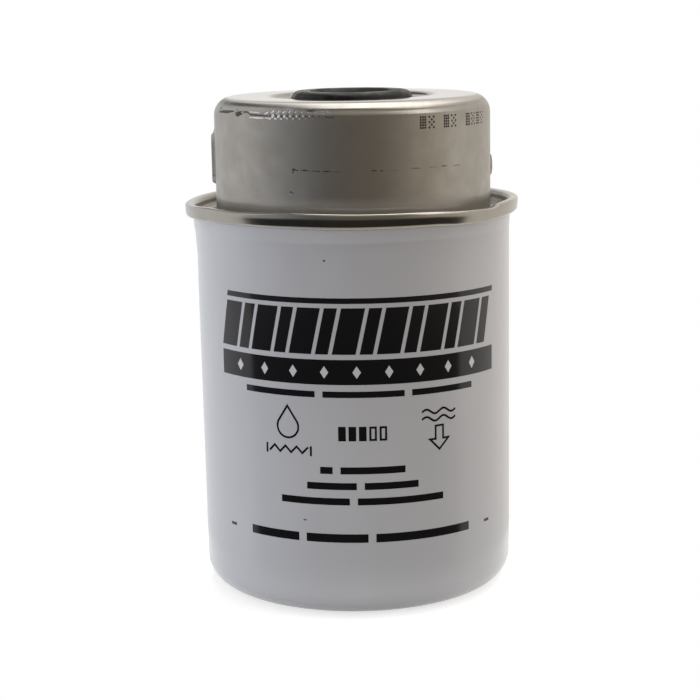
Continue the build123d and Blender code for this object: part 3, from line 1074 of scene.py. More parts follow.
@dataclass(frozen=True)
class DoubleSeam:
    """The rolled seam that joins can and cap, and the knocks that it took."""

    top: float = 98.0
    hem: float = 94.7
    neck_radius: float = 40.55
    hook_radius: float = 41.15
    compound_low: float = 97.2
    compound_high: float = 97.45
    bend_inside: float = 37.2
    bend_width: float = 2.2
    bend_low: float = 90.75
    bend_height: float = 4.0
    hem_lean: float = 0.2
    ripple: float = 0.03
    ripple_waves: tuple[Triple, ...] = ((8.0, 2.1, 0.6), (17.0, 0.0, 0.4))
    turns: int = 240
    knocks: tuple[Knock, ...] = (
        Knock(-180, 0.5, 0.4, 0.3),
        Knock(-125, 0.6, 0.4, 0.1),
        Knock(-98, 0.95, 0.5),
        Knock(-78, 0.85, 0.6),
        Knock(-66, 0.45, 0.5, 0.15),
        Knock(-58, 0.15, 0.35, 0.35),
        Knock(-42, 0.33, 0.2, 0.1),
        Knock(-30, 0.0, 0.2),
        Knock(-20, -0.25, 0.28),
        Knock(-8, -0.12, 0.46),
        Knock(0, 0.0, 0.52),
        Knock(20, 0.1, 0.46),
        Knock(28, 0.27, 0.46),
        Knock(35, 0.6, 0.8),
        Knock(45, 0.8, 0.9),
        Knock(53, 1.05, 0.6, 0.1),
        Knock(58, 0.3, 0.45, 0.3),
        Knock(68, 0.1, 0.3, 0.5),
        Knock(82, 0.4, 0.1, 0.95),
        Knock(97, 0.55, 0.0, 0.95),
        Knock(118, 0.75, 0.3, 1.0),
        Knock(140, 0.5, 0.4, 0.6),
        Knock(180, 0.5, 0.4, 0.3),
    )

    def warp(self, bearing: Array, radius: Array, height: Array) -> tuple[Array, Array]:
        """Bends the seam, and can and cap with it, so that its layers stay on each other.

        Each wave of the ripple has its count round the seam, its phase and its share.

        Args:
            bearing: Bearing of each point.
            radius: Radius of each point.
            height: Height of each point.

        Returns:
            The points' new radii and heights.
        """
        bearings = [knock.bearing for knock in self.knocks]
        lip, hem, tuck = [
            np.interp(bearing, bearings, drops)
            for drops in zip(*[(knock.lip_drop, knock.hem_drop, knock.tuck) for knock in self.knocks])
        ]
        swing = np.radians(bearing)
        waves = [np.sin(count * swing + phase) * part for count, phase, part in self.ripple_waves]
        tuck = tuck + self.ripple * sum(waves, start=1.0)
        share = np.clip((radius - self.bend_inside) / self.bend_width, 0, 1)
        share = share * np.clip((height - self.bend_low) / self.bend_height, 0, 1)
        down = np.clip((self.top - height) / (self.top - self.hem), 0, 1)
        tuck = tuck + self.hem_lean * down
        return radius - share * tuck, height - share * (lip * (1 - down) + hem * down)

    def build(self) -> None:
        """Turns the ring of compound in the seam's crown."""
        near = [(self.neck_radius, self.compound_low), (self.neck_radius, self.compound_high)]
        far = [(self.hook_radius, self.compound_low), (self.hook_radius, self.compound_high)]
        ring = turn_section(
            "seam_compound_ring", near, far, even_bearings(self.turns), [COMPOUND], self.warp
        )
        settle(ring, Body.CARTRIDGE, Slot.SEALANT, "seam_compound")


@dataclass(frozen=True)
class Can:
    """Drawn can, from the hole for the drain in its bottom to its hook in the seam."""

    seam: DoubleSeam
    radius: float = 39.0
    sheet: float = 0.5
    corner: float = 6.6
    bottom_hole: float = 8.1
    recess_radius: float = 25.4
    recess_lean: float = 1.5
    recess_depth: float = 10.3
    recess_bend: float = 2.0
    flare_bottom: float = 90.75
    flare_top: float = 94.95
    neck_bend: float = 3.0
    hook_top: float = 96.65
    hook_end: float = 95.45
    hook_bend: float = 0.288
    bulge: float = 0.43
    bulge_bearing: float = -90.0
    bulge_width: float = 42.0
    bulge_levels: tuple[Point, ...] = (
        (20.0, 0.0), (76.0, 1.0), (86.0, 1.0), (88.8, 1.2), (90.4, 2.1), (92.2, 2.1), (94.9, 0.0)
    )
    chord: float = 0.6
    tallest_row: float = 6.0
    turns: int = 384

    def swell(self, bearing: Array | float, level: Array | float) -> Array | float:
        """Gives how far the can's left side stands out from the round.

        Args:
            bearing: Bearing of the point, or of each point.
            level: Height of the point, or of each point.

        Returns:
            How far it stands out.
        """
        aside = turned_from(self.bulge_bearing, bearing)
        height = np.interp(level, *zip(*self.bulge_levels))
        return self.bulge * np.exp(-((aside / self.bulge_width) ** 2)) * height

    def wall(self, bearing: float, level: float, lift: float) -> Point:
        """Gives radius and height of a point over the can's wall."""
        return self.radius + float(self.swell(bearing, level)) + lift, level

    def shape(self, bearing: Array, radius: Array, height: Array) -> tuple[Array, Array]:
        """Swells the wall and bends the seam.

        Args:
            bearing: Bearing of each point.
            radius: Radius of each point.
            height: Height of each point.

        Returns:
            The points' new radii and heights.
        """
        walls = radius > self.radius - self.corner / 2
        radius = radius + np.where(walls, self.swell(bearing, height), 0.0)
        return self.seam.warp(bearing, radius, height)

    def build(self) -> None:
        """Turns the can and sets it on the cartridge."""
        near, far = bent_sheet(
            [
                (self.bottom_hole, self.recess_depth),
                (self.recess_radius - self.recess_lean, self.recess_depth),
                (self.recess_radius, 0.0),
                (self.radius, 0.0),
                (self.radius, self.flare_bottom),
                (self.seam.neck_radius, self.flare_top),
                (self.seam.neck_radius, self.hook_top),
                (self.seam.hook_radius, self.hook_top),
                (self.seam.hook_radius, self.hook_end),
            ],
            [
                self.recess_bend,
                self.recess_bend,
                self.corner,
                self.neck_bend,
                self.neck_bend,
                self.hook_bend,
                self.hook_bend,
            ],
            self.sheet,
            self.chord,
            self.chord,
        )
        can = turn_section(
            "can_shell",
            self.in_rows(near),
            self.in_rows(far),
            even_bearings(self.turns),
            [ENAMEL, CAN_LACQUER],
            self.shape,
        )
        settle(can, Body.CARTRIDGE, Slot.ENAMEL, "lower_can")

    def in_rows(self, points: Sequence[Point]) -> list[Point]:
        """Splits the wall in rows, so that it can swell.

        Args:
            points: Points of one face, from the bottom's hole to the seam.

        Returns:
            The points with the rows' points between them.
        """
        rows = [points[0]]
        for start, end in zip(points, points[1:]):
            count = max(1, ceil((end[1] - start[1]) / self.tallest_row))
            for row in range(1, count + 1):
                share = row / count
                rows.append(
                    (start[0] + (end[0] - start[0]) * share, start[1] + (end[1] - start[1]) * share)
                )
        return rows


@dataclass(frozen=True)
class Key:
    """Key pressed out of the cap's wall, with rounded corners and sloping sides."""

    bearing: float
    level: float
    width: float
    height: float
    rise: float = 0.9
    taper: float = 40.0
    rounding: float = 0.49

    def bulge(self, bearing: Array, level: Array, wall_radius: float) -> Array:
        """Gives how far the key stands out at each point of the wall.

        Args:
            bearing: Bearing of each point.
            level: Height of each point.
            wall_radius: Radius at which the key's width is measured.

        Returns:
            The rise of each point.
        """
        aside = turned_from(self.bearing, bearing)
        corner = self.rounding * self.width
        past_side = np.abs(np.radians(aside)) * wall_radius - self.width / 2 + corner
        past_end = np.abs(level - self.level) - self.height / 2 + corner
        outside = np.hypot(np.maximum(past_side, 0), np.maximum(past_end, 0))
        inside = corner - outside - np.minimum(np.maximum(past_side, past_end), 0)
        share = np.clip(inside / (self.rise * tan(radians(self.taper))), 0, 1)
        return self.rise * share * share * (3 - 2 * share)


@dataclass(frozen=True)
class Scrape:
    """Scrape low on the cap's shoulder: a crease that ends in rows of tooth marks."""

    path: tuple[Point, ...] = (
        (-73.0, 120.0),
        (-57.0, 120.4),
        (-54.0, 119.9),
        (-46.0, 120.1),
        (-35.0, 119.7),
        (-22.0, 119.4),
        (-3.0, 119.5),
    )
    crease: float = 0.15
    crease_share: tuple[Point, ...] = (
        (-73.0, 0.0),
        (-71.0, 1.0),
        (-57.5, 1.0),
        (-56.0, 0.3),
        (-53.5, 1.3),
        (-50.0, 1.2),
        (-48.0, 0.5),
        (-36.0, 0.8),
        (-30.0, 0.3),
        (-8.0, 0.25),
        (-3.0, 0.0),
    )
    half_width: float = 0.3
    tooth: float = 0.11
    tooth_share: tuple[Point, ...] = ((-38.0, 0.0), (-35.5, 1.0), (-23.0, 1.0), (-21.0, 0.5), (-4.0, 0.0))
    tooth_pitch: float = 1.6
    tooth_half_height: float = 0.26
    tooth_rows: tuple[Point, ...] = ((-0.15, 0.0), (0.62, 0.5), (1.35, 0.2))

    def depth(self, bearing: Array | float, run: Array | float, wall_radius: float) -> Array | float:
        """Gives how deep the skin lies under the true form.

        Args:
            bearing: Bearing of each point.
            run: Height of each point, measured along the wall and round its shoulder.
            wall_radius: Radius at which the teeth's pitch is measured.

        Returns:
            The depth of each point, below zero where a tooth raised the skin.
        """
        over = run - np.interp(bearing, *zip(*self.path))
        crease = np.exp(-((over / self.half_width) ** 2)) * np.interp(bearing, *zip(*self.crease_share))
        count = np.radians(bearing) * wall_radius / self.tooth_pitch
        teeth = sum(
            np.clip(np.sin(2 * pi * (count + phase)), 0, 1)
            * np.exp(-(((over - row) / self.tooth_half_height) ** 2))
            for row, phase in self.tooth_rows
        )
        raised = self.tooth * teeth * np.interp(bearing, *zip(*self.tooth_share))
        return self.crease * crease - raised


@dataclass(frozen=True)
class Cap:
    """Drawn cap, from the hole for the grommet to its cover hook in the seam."""

    seam: DoubleSeam
    scrape: Scrape = Scrape()
    keys: tuple[Key, ...] = (Key(-90.0, 107.8, 5.4, 13.2), Key(98.0, 104.7, 6.6, 6.6))
    radius: float = 34.3
    top: float = 123.0
    sheet: float = 0.5
    corner: float = 4.5
    hole: float = 12.2
    panel_radius: float = 19.5
    panel_level: float = 121.8
    panel_slope: float = 20.7
    panel_bend: float = 2.0
    gutter_floor: float = 94.0
    gutter_inner_bend: float = 1.2
    gutter_outer_bend: float = 2.0
    chuck_radius: float = 39.5
    seam_radius: float = 42.2
    crown_inner_bend: float = 1.4
    crown_outer_bend: float = 0.8
    hem_bend: float = 0.752
    hook_radius: float = 40.6
    hook_end: float = 96.4
    near_chord: float = 0.25
    far_chord: float = 0.8
    key_rows: Span = (100.8, 114.8)
    fine_row: float = 0.3
    coarse_row: float = 1.5
    fine_turn: float = 0.5
    coarse_turn: float = 1.5
    fine_bearings: tuple[Span, ...] = ((-97.0, -2.0), (90.5, 105.5))

    def wall(self, bearing: float, run: float, lift: float) -> Point:
        """Gives radius and height of a point over the cap's wall and shoulder.

        Args:
            bearing: Bearing of the point.
            run: Its height, measured along the wall and round the shoulder.
            lift: How far it stands out from the skin.

        Returns:
            Its radius and height.
        """
        tilt = max(0.0, run - (self.top - self.corner)) / self.corner
        reach = self.corner + lift - float(self.scrape.depth(bearing, run, self.radius))
        level = min(run, self.top - self.corner)
        return self.radius - self.corner + reach * cos(tilt), level + reach * sin(tilt)

    def shape(self, bearing: Array, radius: Array, height: Array) -> tuple[Array, Array]:
        """Presses the keys out, scrapes the shoulder and bends the seam.

        Args:
            bearing: Bearing of each point.
            radius: Radius of each point.
            height: Height of each point.

        Returns:
            The points' new radii and heights.
        """
        over = np.maximum(height - (self.top - self.corner), 0.0)
        across = radius - (self.radius - self.corner)
        tilt = np.arctan2(over, across) * (over > 0)
        shown = np.hypot(over, across) > self.corner - self.sheet / 2
        run = height - over + self.corner * tilt
        depth = np.where(shown, self.scrape.depth(bearing, run, self.radius), 0.0)
        depth = np.where((height > self.seam.top) & (tilt < pi / 2), depth, 0.0)
        walls = (height > self.seam.top) & (radius > self.radius - 2 * self.sheet) & (over == 0)
        rise = sum(key.bulge(bearing, height, self.radius) for key in self.keys)
        radius = radius - depth * np.cos(tilt) + np.where(walls, rise, 0.0)
        return self.seam.warp(bearing, radius, height - depth * np.sin(tilt))

    def bearings(self) -> Array:
        """Gives bearings that lie close together over the keys and the scrape.

        Returns:
            The bearings, in order.
        """
        places = [-180.0]
        while places[-1] < 180.0 - self.coarse_turn:
            fine = any(low <= places[-1] <= high for low, high in self.fine_bearings)
            places.append(places[-1] + (self.fine_turn if fine else self.coarse_turn))
        return np.array(places)

    def in_rows(self, points: Sequence[Point], key_row: float) -> list[Point]:
        """Splits the wall in rows.

        Args:
            points: Points of one face, from the hole to the seam.
            key_row: Height of a row beside the keys.

        Returns:
            The points with the rows' points between them.
        """
        rows = []
        low, high = self.key_rows
        for (radius, level), (next_radius, next_level) in zip(points, points[1:]):
            rows.append((radius, level))
            upright = abs(radius - next_radius) < MM and radius < self.radius + MM
            while upright and level - next_level > self.coarse_row:
                level -= key_row if low < level < high else self.coarse_row
                rows.append((radius, level))
        return [*rows, points[-1]]

    def build(self) -> None:
        """Turns the cap and sets it on the cartridge."""
        near, far = bent_sheet(
            [
                (self.hole, self.panel_level),
                (self.panel_radius, self.panel_level),
                (self.panel_slope, self.top),
                (self.radius, self.top),
                (self.radius, self.gutter_floor),
                (self.chuck_radius, self.gutter_floor),
                (self.chuck_radius, self.seam.top),
                (self.seam_radius, self.seam.top),
                (self.seam_radius, self.seam.hem),
                (self.hook_radius, self.seam.hem),
                (self.hook_radius, self.hook_end),
            ],
            [
                self.panel_bend,
                self.panel_bend,
                self.corner,
                self.gutter_inner_bend,
                self.gutter_outer_bend,
                self.crown_inner_bend,
                self.crown_outer_bend,
                self.hem_bend,
                self.hem_bend,
            ],
            -self.sheet,
            self.near_chord,
            self.far_chord,
        )
        cap = turn_section(
            "cap_shell",
            self.in_rows(near, self.fine_row),
            self.in_rows(far, self.coarse_row),
            self.bearings(),
            [TINPLATE],
            self.shape,
        )
        settle(cap, Body.CARTRIDGE, Slot.TINPLATE, "upper_cap")


@dataclass(frozen=True)
class Grommet:
    """Rubber grommet in the cap's hole, which grips the post of the filter head."""

    bore: float = 9.4
    seat_level: float = 114.5
    seat_radius: float = 11.6
    neck: float = 12.15
    flange_radius: float = 14.1
    flange_under: float = 119.6
    sheet_under: float = 121.3
    panel_level: float = 121.8
    bead_radius: float = 15.05
    bead_top: float = 124.1
    bead_bend: float = 2.0
    bore_bend: float = 0.36
    lead_in: float = 1.1
    edge: float = 0.12
    chord: float = 0.3
    turns: int = 288

    def build(self) -> None:
        """Turns the grommet and sets it in the cap."""
        half_lead = self.lead_in / 2
        half_flange = (self.sheet_under - self.flange_under) / 2
        middle = (self.bore, (self.seat_level + self.bead_top) / 2)
        corners = [
            middle,
            (self.bore, self.bead_top - self.lead_in),
            (self.bore + self.lead_in, self.bead_top),
            (self.bead_radius, self.bead_top),
            (self.bead_radius, self.panel_level),
            (self.neck, self.panel_level),
            (self.neck, self.sheet_under),
            (self.flange_radius, self.sheet_under),
            (self.flange_radius, self.sheet_under - half_flange),
            (self.flange_radius - half_flange, self.flange_under),
            (self.neck, self.flange_under),
            (self.seat_radius, self.seat_level),
            (self.bore + half_lead, self.seat_level),
            (self.bore, self.seat_level + half_lead),
            middle,
        ]
        soft = [self.bore_bend, half_lead, self.bead_bend]
        crisp = [self.edge] * (len(corners[1:-1]) - len(soft))
        outline = round_bends(corners, soft + crisp, self.chord)[:-1]
        half = len(outline) // 2
        ring = turn_section(
            "grommet_ring", outline[:half], outline[:half - 1:-1], even_bearings(self.turns), [RUBBER]
        )
        settle(ring, Body.CARTRIDGE, Slot.RUBBER, "top_grommet")


@dataclass(frozen=True)
class BarRow:
    """A row of plain bars: its level, their thickness, its middle along and their lengths."""

    level: float
    thickness: float
    middle: float
    lengths: tuple[float, ...]


@dataclass(frozen=True)
class FuelSign:
    """A drop over a folded line between two posts."""

    middle: float = -17.1
    drop_level: float = 46.9
    drop_radius: float = 2.75
    drop_tip: float = 51.9
    drop_shoulder: float = 24.0
    drop_steps: int = 18
    line_start: float = -22.2
    line_end: float = -12.0
    line_level: float = 40.6
    fold_height: float = 1.5
    folds: int = 7
    post_gap: float = 0.7
    post_under: float = 0.6
    post_over: float = 0.3

    def shapes(self, width: float) -> list[Sequence[Point]]:
        """Draws the sign.

        Args:
            width: Width of its strokes.

        Returns:
            Its shapes.
        """
        shoulder = radians(self.drop_shoulder)
        drop = [(self.middle, self.drop_tip)]
        for place in range(self.drop_steps + 1):
            turn = shoulder - (pi + 2 * shoulder) * place / self.drop_steps
            across, up = self.drop_radius * cos(turn), self.drop_radius * sin(turn)
            drop.append((self.middle + across, self.drop_level + up))
        length = self.line_end - self.line_start
        zigzag = [
            (self.line_start + length * place / self.folds, self.line_level + self.fold_height * (place % 2))
            for place in range(self.folds + 1)
        ]
        low, high = self.line_level - self.post_under, self.line_level + self.fold_height + self.post_over
        posts = [
            block(along - width / 2, along + width / 2, low, high)
            for along in (self.line_start - self.post_gap, self.line_end + self.post_gap)
        ]
        return [*stroke(drop, width, closed=True), *stroke(zigzag, width), *posts]


@dataclass(frozen=True)
class DrainSign:
    """Two waves of water over an arrow that points down."""

    middle: float = 20.45
    wave_levels: tuple[float, ...] = (50.0, 48.2)
    wave_half_length: float = 4.7
    wave_steps: int = 28
    crest: float = 0.55
    crests: int = 2
    arrow_top: float = 46.4
    arrow_neck: float = 43.2
    arrow_tip: float = 40.6
    shaft_half_width: float = 1.05
    head_half_width: float = 2.6

    def shapes(self, width: float) -> list[Sequence[Point]]:
        """Draws the sign.

        Args:
            width: Width of its strokes.

        Returns:
            Its shapes.
        """
        shapes = []
        shares = [step / self.wave_steps for step in range(self.wave_steps + 1)]
        for level in self.wave_levels:
            wave = [
                (
                    self.middle + self.wave_half_length * (2 * share - 1),
                    level + self.crest * sin(2 * pi * self.crests * share),
                )
                for share in shares
            ]
            shapes += stroke(wave, width)
        half = [
            (self.shaft_half_width, self.arrow_top),
            (self.shaft_half_width, self.arrow_neck),
            (self.head_half_width, self.arrow_neck),
        ]
        left = [(self.middle - across, level) for across, level in half]
        right = [(self.middle + across, level) for across, level in reversed(half)]
        arrow = [*left, (self.middle, self.arrow_tip), *right]
        return [*shapes, *stroke(arrow, width, closed=True)]


@dataclass(frozen=True)
class GradeBlocks:
    """Small blocks in a row, some filled and some as outlines."""

    filled: int = 3
    outlined: int = 2
    start: float = -4.6
    width: float = 1.8
    gap: float = 0.65
    low: float = 43.9
    high: float = 47.4

    def shapes(self, width: float) -> list[Sequence[Point]]:
        """Draws the blocks.

        Args:
            width: Width of the outlines.

        Returns:
            Their shapes.
        """
        shapes = []
        inset = width / 2
        for place in range(self.filled + self.outlined):
            left = self.start + place * (self.width + self.gap)
            right = left + self.width
            if place < self.filled:
                shapes.append(block(left, right, self.low, self.high))
            else:
                outline = block(left + inset, right - inset, self.low + inset, self.high - inset)
                shapes += stroke(outline, width, closed=True)
        return shapes


@dataclass(frozen=True)
class PrintedSide:
    """Print on the can: stripes, plain bars, small blocks and two signs.

    Lengths are along the wall, from the front middle, and in height.
    """

    can: Can
    lift: float = 0.012
    ink: float = 0.012
    lean: float = 0.0065
    left: float = -37.6
    right: float = 39.4
    stripe_low: float = 64.7
    stripe_high: float = 75.7
    stripe_pairs: int = 7
    stripe_widths: tuple[float, float] = (5.6, 3.1)
    stripe_gap: float = 0.95
    slant: float = 2.4
    rule_low: float = 76.75
    rule_high: float = 78.05
    rule_slant: float = 0.25
    bar_low: float = 57.45
    bar_high: float = 63.45
    bar_marks: int = 9
    mark_pitch: float = 7.7
    mark_half_width: float = 1.0
    mark_half_height: float = 1.5
    mark_corners: int = 4
    stroke_width: float = 0.5
    fuel_sign: FuelSign = FuelSign()
    drain_sign: DrainSign = DrainSign()
    grade_blocks: GradeBlocks = GradeBlocks()
    captions: tuple[BarRow, ...] = (
        BarRow(55.1, 1.5, 0.9, (18.8, 19.6, 17.4)),
        BarRow(36.7, 1.7, 1.15, (3.0, 15.6)),
        BarRow(32.85, 1.7, 1.15, (12.0, 13.2)),
        BarRow(29.1, 1.7, 1.15, (17.0, 21.6)),
        BarRow(20.05, 2.1, 0.6, (13.6, 15.0, 25.4)),
    )
    caption_gap: float = 1.9
    dashes: tuple[float, ...] = (-35.2, 36.6)
    dash_half_length: float = 1.0
    dash_low: float = 19.55
    dash_high: float = 20.25

    def build(self) -> None:
        """Prints each group in its ink, and the pale marks on a layer over the bar."""
        bar = [block(self.left, self.right, self.bar_low, self.bar_high)]
        groups = [
            ("print_stripes", 0, self.stripes(), BLACK_INK),
            ("print_bar", 0, bar, BLACK_INK),
            ("print_bar_marks", 1, self.bar_diamonds(), PALE_INK),
            ("print_captions", 0, self.caption_bars(), BLACK_INK),
            ("print_fuel_sign", 0, self.fuel_sign.shapes(self.stroke_width), BLACK_INK),
            ("print_drain_sign", 0, self.drain_sign.shapes(self.stroke_width), BLACK_INK),
            ("print_grade_blocks", 0, self.grade_blocks.shapes(self.stroke_width), BLACK_INK),
        ]
        for name, layer, shapes, finish in groups:
            film = Film(self.can.wall, self.can.radius, self.lift + layer * self.ink, self.ink)
            film.add(*shapes)
            settle(film.build(name, finish, self.lean), Body.CARTRIDGE, Slot.ENAMEL)

    def stripes(self) -> list[Sequence[Point]]:
        """Draws the row of leaning stripes under its rule.

        Returns:
            The stripes' shapes and the rule's.
        """
        shapes = []
        along = self.left
        for width in self.stripe_widths * self.stripe_pairs:
            shapes.append(block(along, along + width, self.stripe_low, self.stripe_high, self.slant))
            along += width + self.stripe_gap
        start = self.left + self.slant
        rule = block(start, self.right, self.rule_low, self.rule_high, self.rule_slant)
        return [*shapes, rule]

    def bar_diamonds(self) -> list[Sequence[Point]]:
        """Draws the pale marks on the bar.

        Returns:
            Their shapes.
        """
        level = (self.bar_low + self.bar_high) / 2
        places = [(mark - (self.bar_marks - 1) / 2) * self.mark_pitch for mark in range(self.bar_marks)]
        size = (self.mark_half_width, self.mark_half_height, self.mark_corners)
        return [oval(along, level, *size) for along in places]

    def caption_bars(self) -> list[Sequence[Point]]:
        """Draws the rows of plain bars, and a dash on either side of the lowest.

        Returns:
            Their shapes.
        """
        shapes = []
        for row in self.captions:
            gaps = self.caption_gap * (len(row.lengths) - 1)
            along = row.middle - (sum(row.lengths) + gaps) / 2
            low, high = row.level - row.thickness / 2, row.level + row.thickness / 2
            for length in row.lengths:
                shapes.append(block(along, along + length, low, high))
                along += length + self.caption_gap
        half = self.dash_half_length
        dashes = [block(along - half, along + half, self.dash_low, self.dash_high) for along in self.dashes]
        return [*shapes, *dashes]


@dataclass(frozen=True)
class Blot:
    """A spot of dirt, or of painted shade, highlight or reflection: its middle, half its width and height,
    and its rise along.
    """

    along: float
    level: float
    half_width: float
    half_height: float
    rise: float = 0.0

    def beside(self, along: float, level: float, size: float) -> "Blot":
        """Gives a like blot, counted from another place and times a size."""
        width, height = self.half_width * size, self.half_height * size
        return Blot(along + self.along, level + self.level, width, height, self.rise)


@dataclass(frozen=True)
class SurfaceMarks:
    """Jet-ink code, dirt, painted shade, painted reflections and painted highlights on the cap, and specks
    in the enamel.
    """

    can: Can
    cap: Cap
    lift: float = 0.008
    thickness: float = 0.008
    strip: float = 0.3
    dot_pitch: float = 0.62
    dot_radius: float = 0.29
    dot_corners: int = 10
    code_low: float = 116.6
    code_groups: tuple[tuple[float, int], ...] = ((16.5, 2), (23.4, 2), (31.3, 4))
    rows: int = 5
    columns: int = 3
    columns_between: float = 0.9
    fade: float = 0.35
    fade_start: float = 30.0
    fade_length: float = 13.0
    edge_corners: int = 16
    edge_reach: Span = (0.75, 1.1)
    # Painted shade along the scrape on the shoulder (the first four), and dark marks on the wall (the rest)
    dirt_and_crease_shade: tuple[Blot, ...] = (
        Blot(-38.6, 120.25, 4.7, 0.42, 0.055),
        Blot(-42.6, 120.95, 0.4, 0.34),
        Blot(-10.0, 121.3, 1.25, 0.28),
        Blot(-5.2, 119.6, 1.3, 0.11, -0.1),
        Blot(-14.3, 107.45, 0.55, 0.3),
        Blot(-14.6, 106.85, 0.3, 0.22),
        Blot(-13.4, 107.35, 0.25, 0.2),
        Blot(-11.5, 107.35, 1.2, 0.18, -0.06),
        Blot(-8.8, 107.2, 1.35, 0.12, -0.04),
        Blot(-6.2, 107.15, 1.1, 0.19),
        Blot(-3.7, 107.05, 1.25, 0.08),
        Blot(-15.2, 102.2, 0.26, 0.22),
        Blot(-14.6, 102.0, 0.2, 0.16),
        Blot(4.8, 107.15, 0.7, 0.14),
        Blot(6.6, 107.1, 0.35, 0.16),
    )
    # Painted shade along the scrape's crease: a dark spot and the thin dark line that it trails
    painted_crease_shade: tuple[Point, ...] = (
        (-33.3, 120.3),
        (-33.1, 121.0),
        (-32.5, 121.0),
        (-32.1, 120.5),
        (-30.6, 120.75),
        (-28.2, 120.75),
        (-27.2, 120.2),
        (-21.3, 119.98),
        (-21.2, 119.7),
        (-26.8, 119.78),
        (-28.3, 120.4),
        (-29.6, 120.35),
        (-30.6, 119.8),
        (-31.4, 119.35),
        (-32.3, 119.4),
        (-33.0, 120.0),
    )
    # Tooth pits of the scrape, drawn dark as painted shade
    pits: int = 11
    pit_start: float = -20.6
    pit_level: float = 119.85
    pit_wander: float = 0.08
    pit_size: tuple[float, float] = (0.34, 0.27)
    pit_shrink: float = 0.5
    # Painted highlights round the first pits, counted from each pit
    highlighted_pits: int = 8
    pit_highlights: tuple[Blot, ...] = (
        Blot(0.8, 0.0, 0.44, 0.5, 0.4), Blot(0.0, -0.62, 0.56, 0.2), Blot(0.4, 1.0, 0.42, 0.36, 0.7)
    )
    # Painted reflection: lilac patches on the cap's shoulder
    lilac_reflections: tuple[Blot, ...] = (
        Blot(-43.5, 122.6, 0.4, 0.5, 0.5),
        Blot(-39.0, 122.7, 0.5, 0.6, 0.6),
        Blot(-36.4, 121.7, 0.9, 0.35),
        Blot(-19.8, 121.55, 1.9, 0.3, -0.03),
        Blot(-15.7, 121.6, 1.6, 0.28, -0.05),
        Blot(-7.0, 120.85, 2.0, 0.5, 0.05),
    )
    # Painted highlights along the lower edge of the scrape's crease and above it
    crease_highlights: tuple[Blot, ...] = (
        Blot(-24.6, 119.28, 2.7, 0.17, -0.02),
        Blot(-25.6, 120.6, 2.2, 0.11, -0.03),
        Blot(-21.9, 120.45, 0.5, 0.28, 0.3),
        Blot(-21.5, 119.3, 0.4, 0.22),
    )
    smudges: tuple[Blot, ...] = (
        Blot(9.4, 107.05, 1.6, 0.08),
        Blot(15.1, 107.3, 1.3, 0.16, -0.05),
        Blot(19.9, 107.3, 1.5, 0.07),
        Blot(23.1, 107.35, 1.1, 0.2),
        Blot(27.4, 107.2, 1.5, 0.12, -0.02),
    )
    specks: tuple[Blot, ...] = (Blot(-7.2, 86.9, 0.3, 0.22), Blot(-13.15, 24.3, 0.5, 0.2))

    def build(self) -> None:
        """Lays every mark on its wall."""
        draw = random.Random(RANDOM_SEED)
        code = self.code().build("cap_ink_code", JET_INK)
        settle(code, Body.CARTRIDGE, Slot.TINPLATE)
        pits, highlights = self.tooth_marks(draw)
        groups = [
            # Dark marks on the wall, and painted shade along the scrape and in its tooth pits
            ("cap_dirt_and_painted_shade", DIRT_AND_PAINTED_SHADE, Slot.TINPLATE, [*self.dirt_and_crease_shade, *pits], [self.painted_crease_shade]),
            # Painted reflection on the shoulder
            ("cap_painted_reflection", PAINTED_REFLECTION, Slot.TINPLATE, self.lilac_reflections, []),
            # Painted highlights along the scrape
            ("cap_painted_highlights", PAINTED_HIGHLIGHT, Slot.TINPLATE, [*self.crease_highlights, *highlights], []),
            ("cap_smudges", SMUDGE, Slot.TINPLATE, self.smudges, []),
            ("enamel_specks", DIRT_AND_PAINTED_SHADE, Slot.ENAMEL, self.specks, []),
        ]
        for name, finish, slot, blots, shapes in groups:
            film = self.film(slot)
            film.add(*shapes, *[self.ragged(draw, blot) for blot in blots])
            settle(film.build(name, finish), Body.CARTRIDGE, slot)

    def tooth_marks(self, draw: random.Random) -> tuple[list[Blot], list[Blot]]:
        """Gives the painted shade of the scrape's tooth pits, and the painted highlights round the first
        ones.

        The places of the highlights are counted from their pit.

        Args:
            draw: Source of the unevenness.

        Returns:
            The pits' painted shade and the painted highlights, which grow smaller to the right.
        """
        pits, highlights = [], []
        for place in range(self.pits):
            along = self.pit_start + place * self.cap.scrape.tooth_pitch
            level = self.pit_level + draw.uniform(-self.pit_wander, self.pit_wander)
            size = 1 - self.pit_shrink * place / (self.pits - 1)
            half_width, half_height = (size * half for half in self.pit_size)
            pits.append(Blot(along, level, half_width, half_height))
            # Painted highlights round a pit, fainter from pit to pit
            bright = 1 - place / self.highlighted_pits
            if bright > 0:
                highlights += [spark.beside(along, level, bright) for spark in self.pit_highlights]
        return pits, highlights

    def code(self) -> Film:
        """Draws the jet-ink code as plain blocks of dots that grow fainter to the right.

        Returns:
            The film.
        """
        film = Film(self.cap.wall, self.cap.radius, self.lift, self.thickness)
        block_pitch = self.dot_pitch * (self.columns + self.columns_between)
        for start, blocks in self.code_groups:
            for place in range(blocks):
                for column in range(self.columns):
                    for row in range(self.rows):
                        if place % 2 and (column + row) % 2:
                            continue
                        along = start + place * block_pitch + column * self.dot_pitch
                        faded = max(0.0, (along - self.fade_start) / self.fade_length)
                        radius = self.dot_radius * (1 - self.fade * faded)
                        level = self.code_low + row * self.dot_pitch
                        film.add(oval(along, level, radius, radius, self.dot_corners))
        return film

    def film(self, slot: Slot) -> Film:
        """Starts a film on the cap's wall for its slot, and on the can's wall otherwise."""
        part = self.cap if slot is Slot.TINPLATE else self.can
        return Film(part.wall, part.radius, self.lift, self.thickness, self.strip)

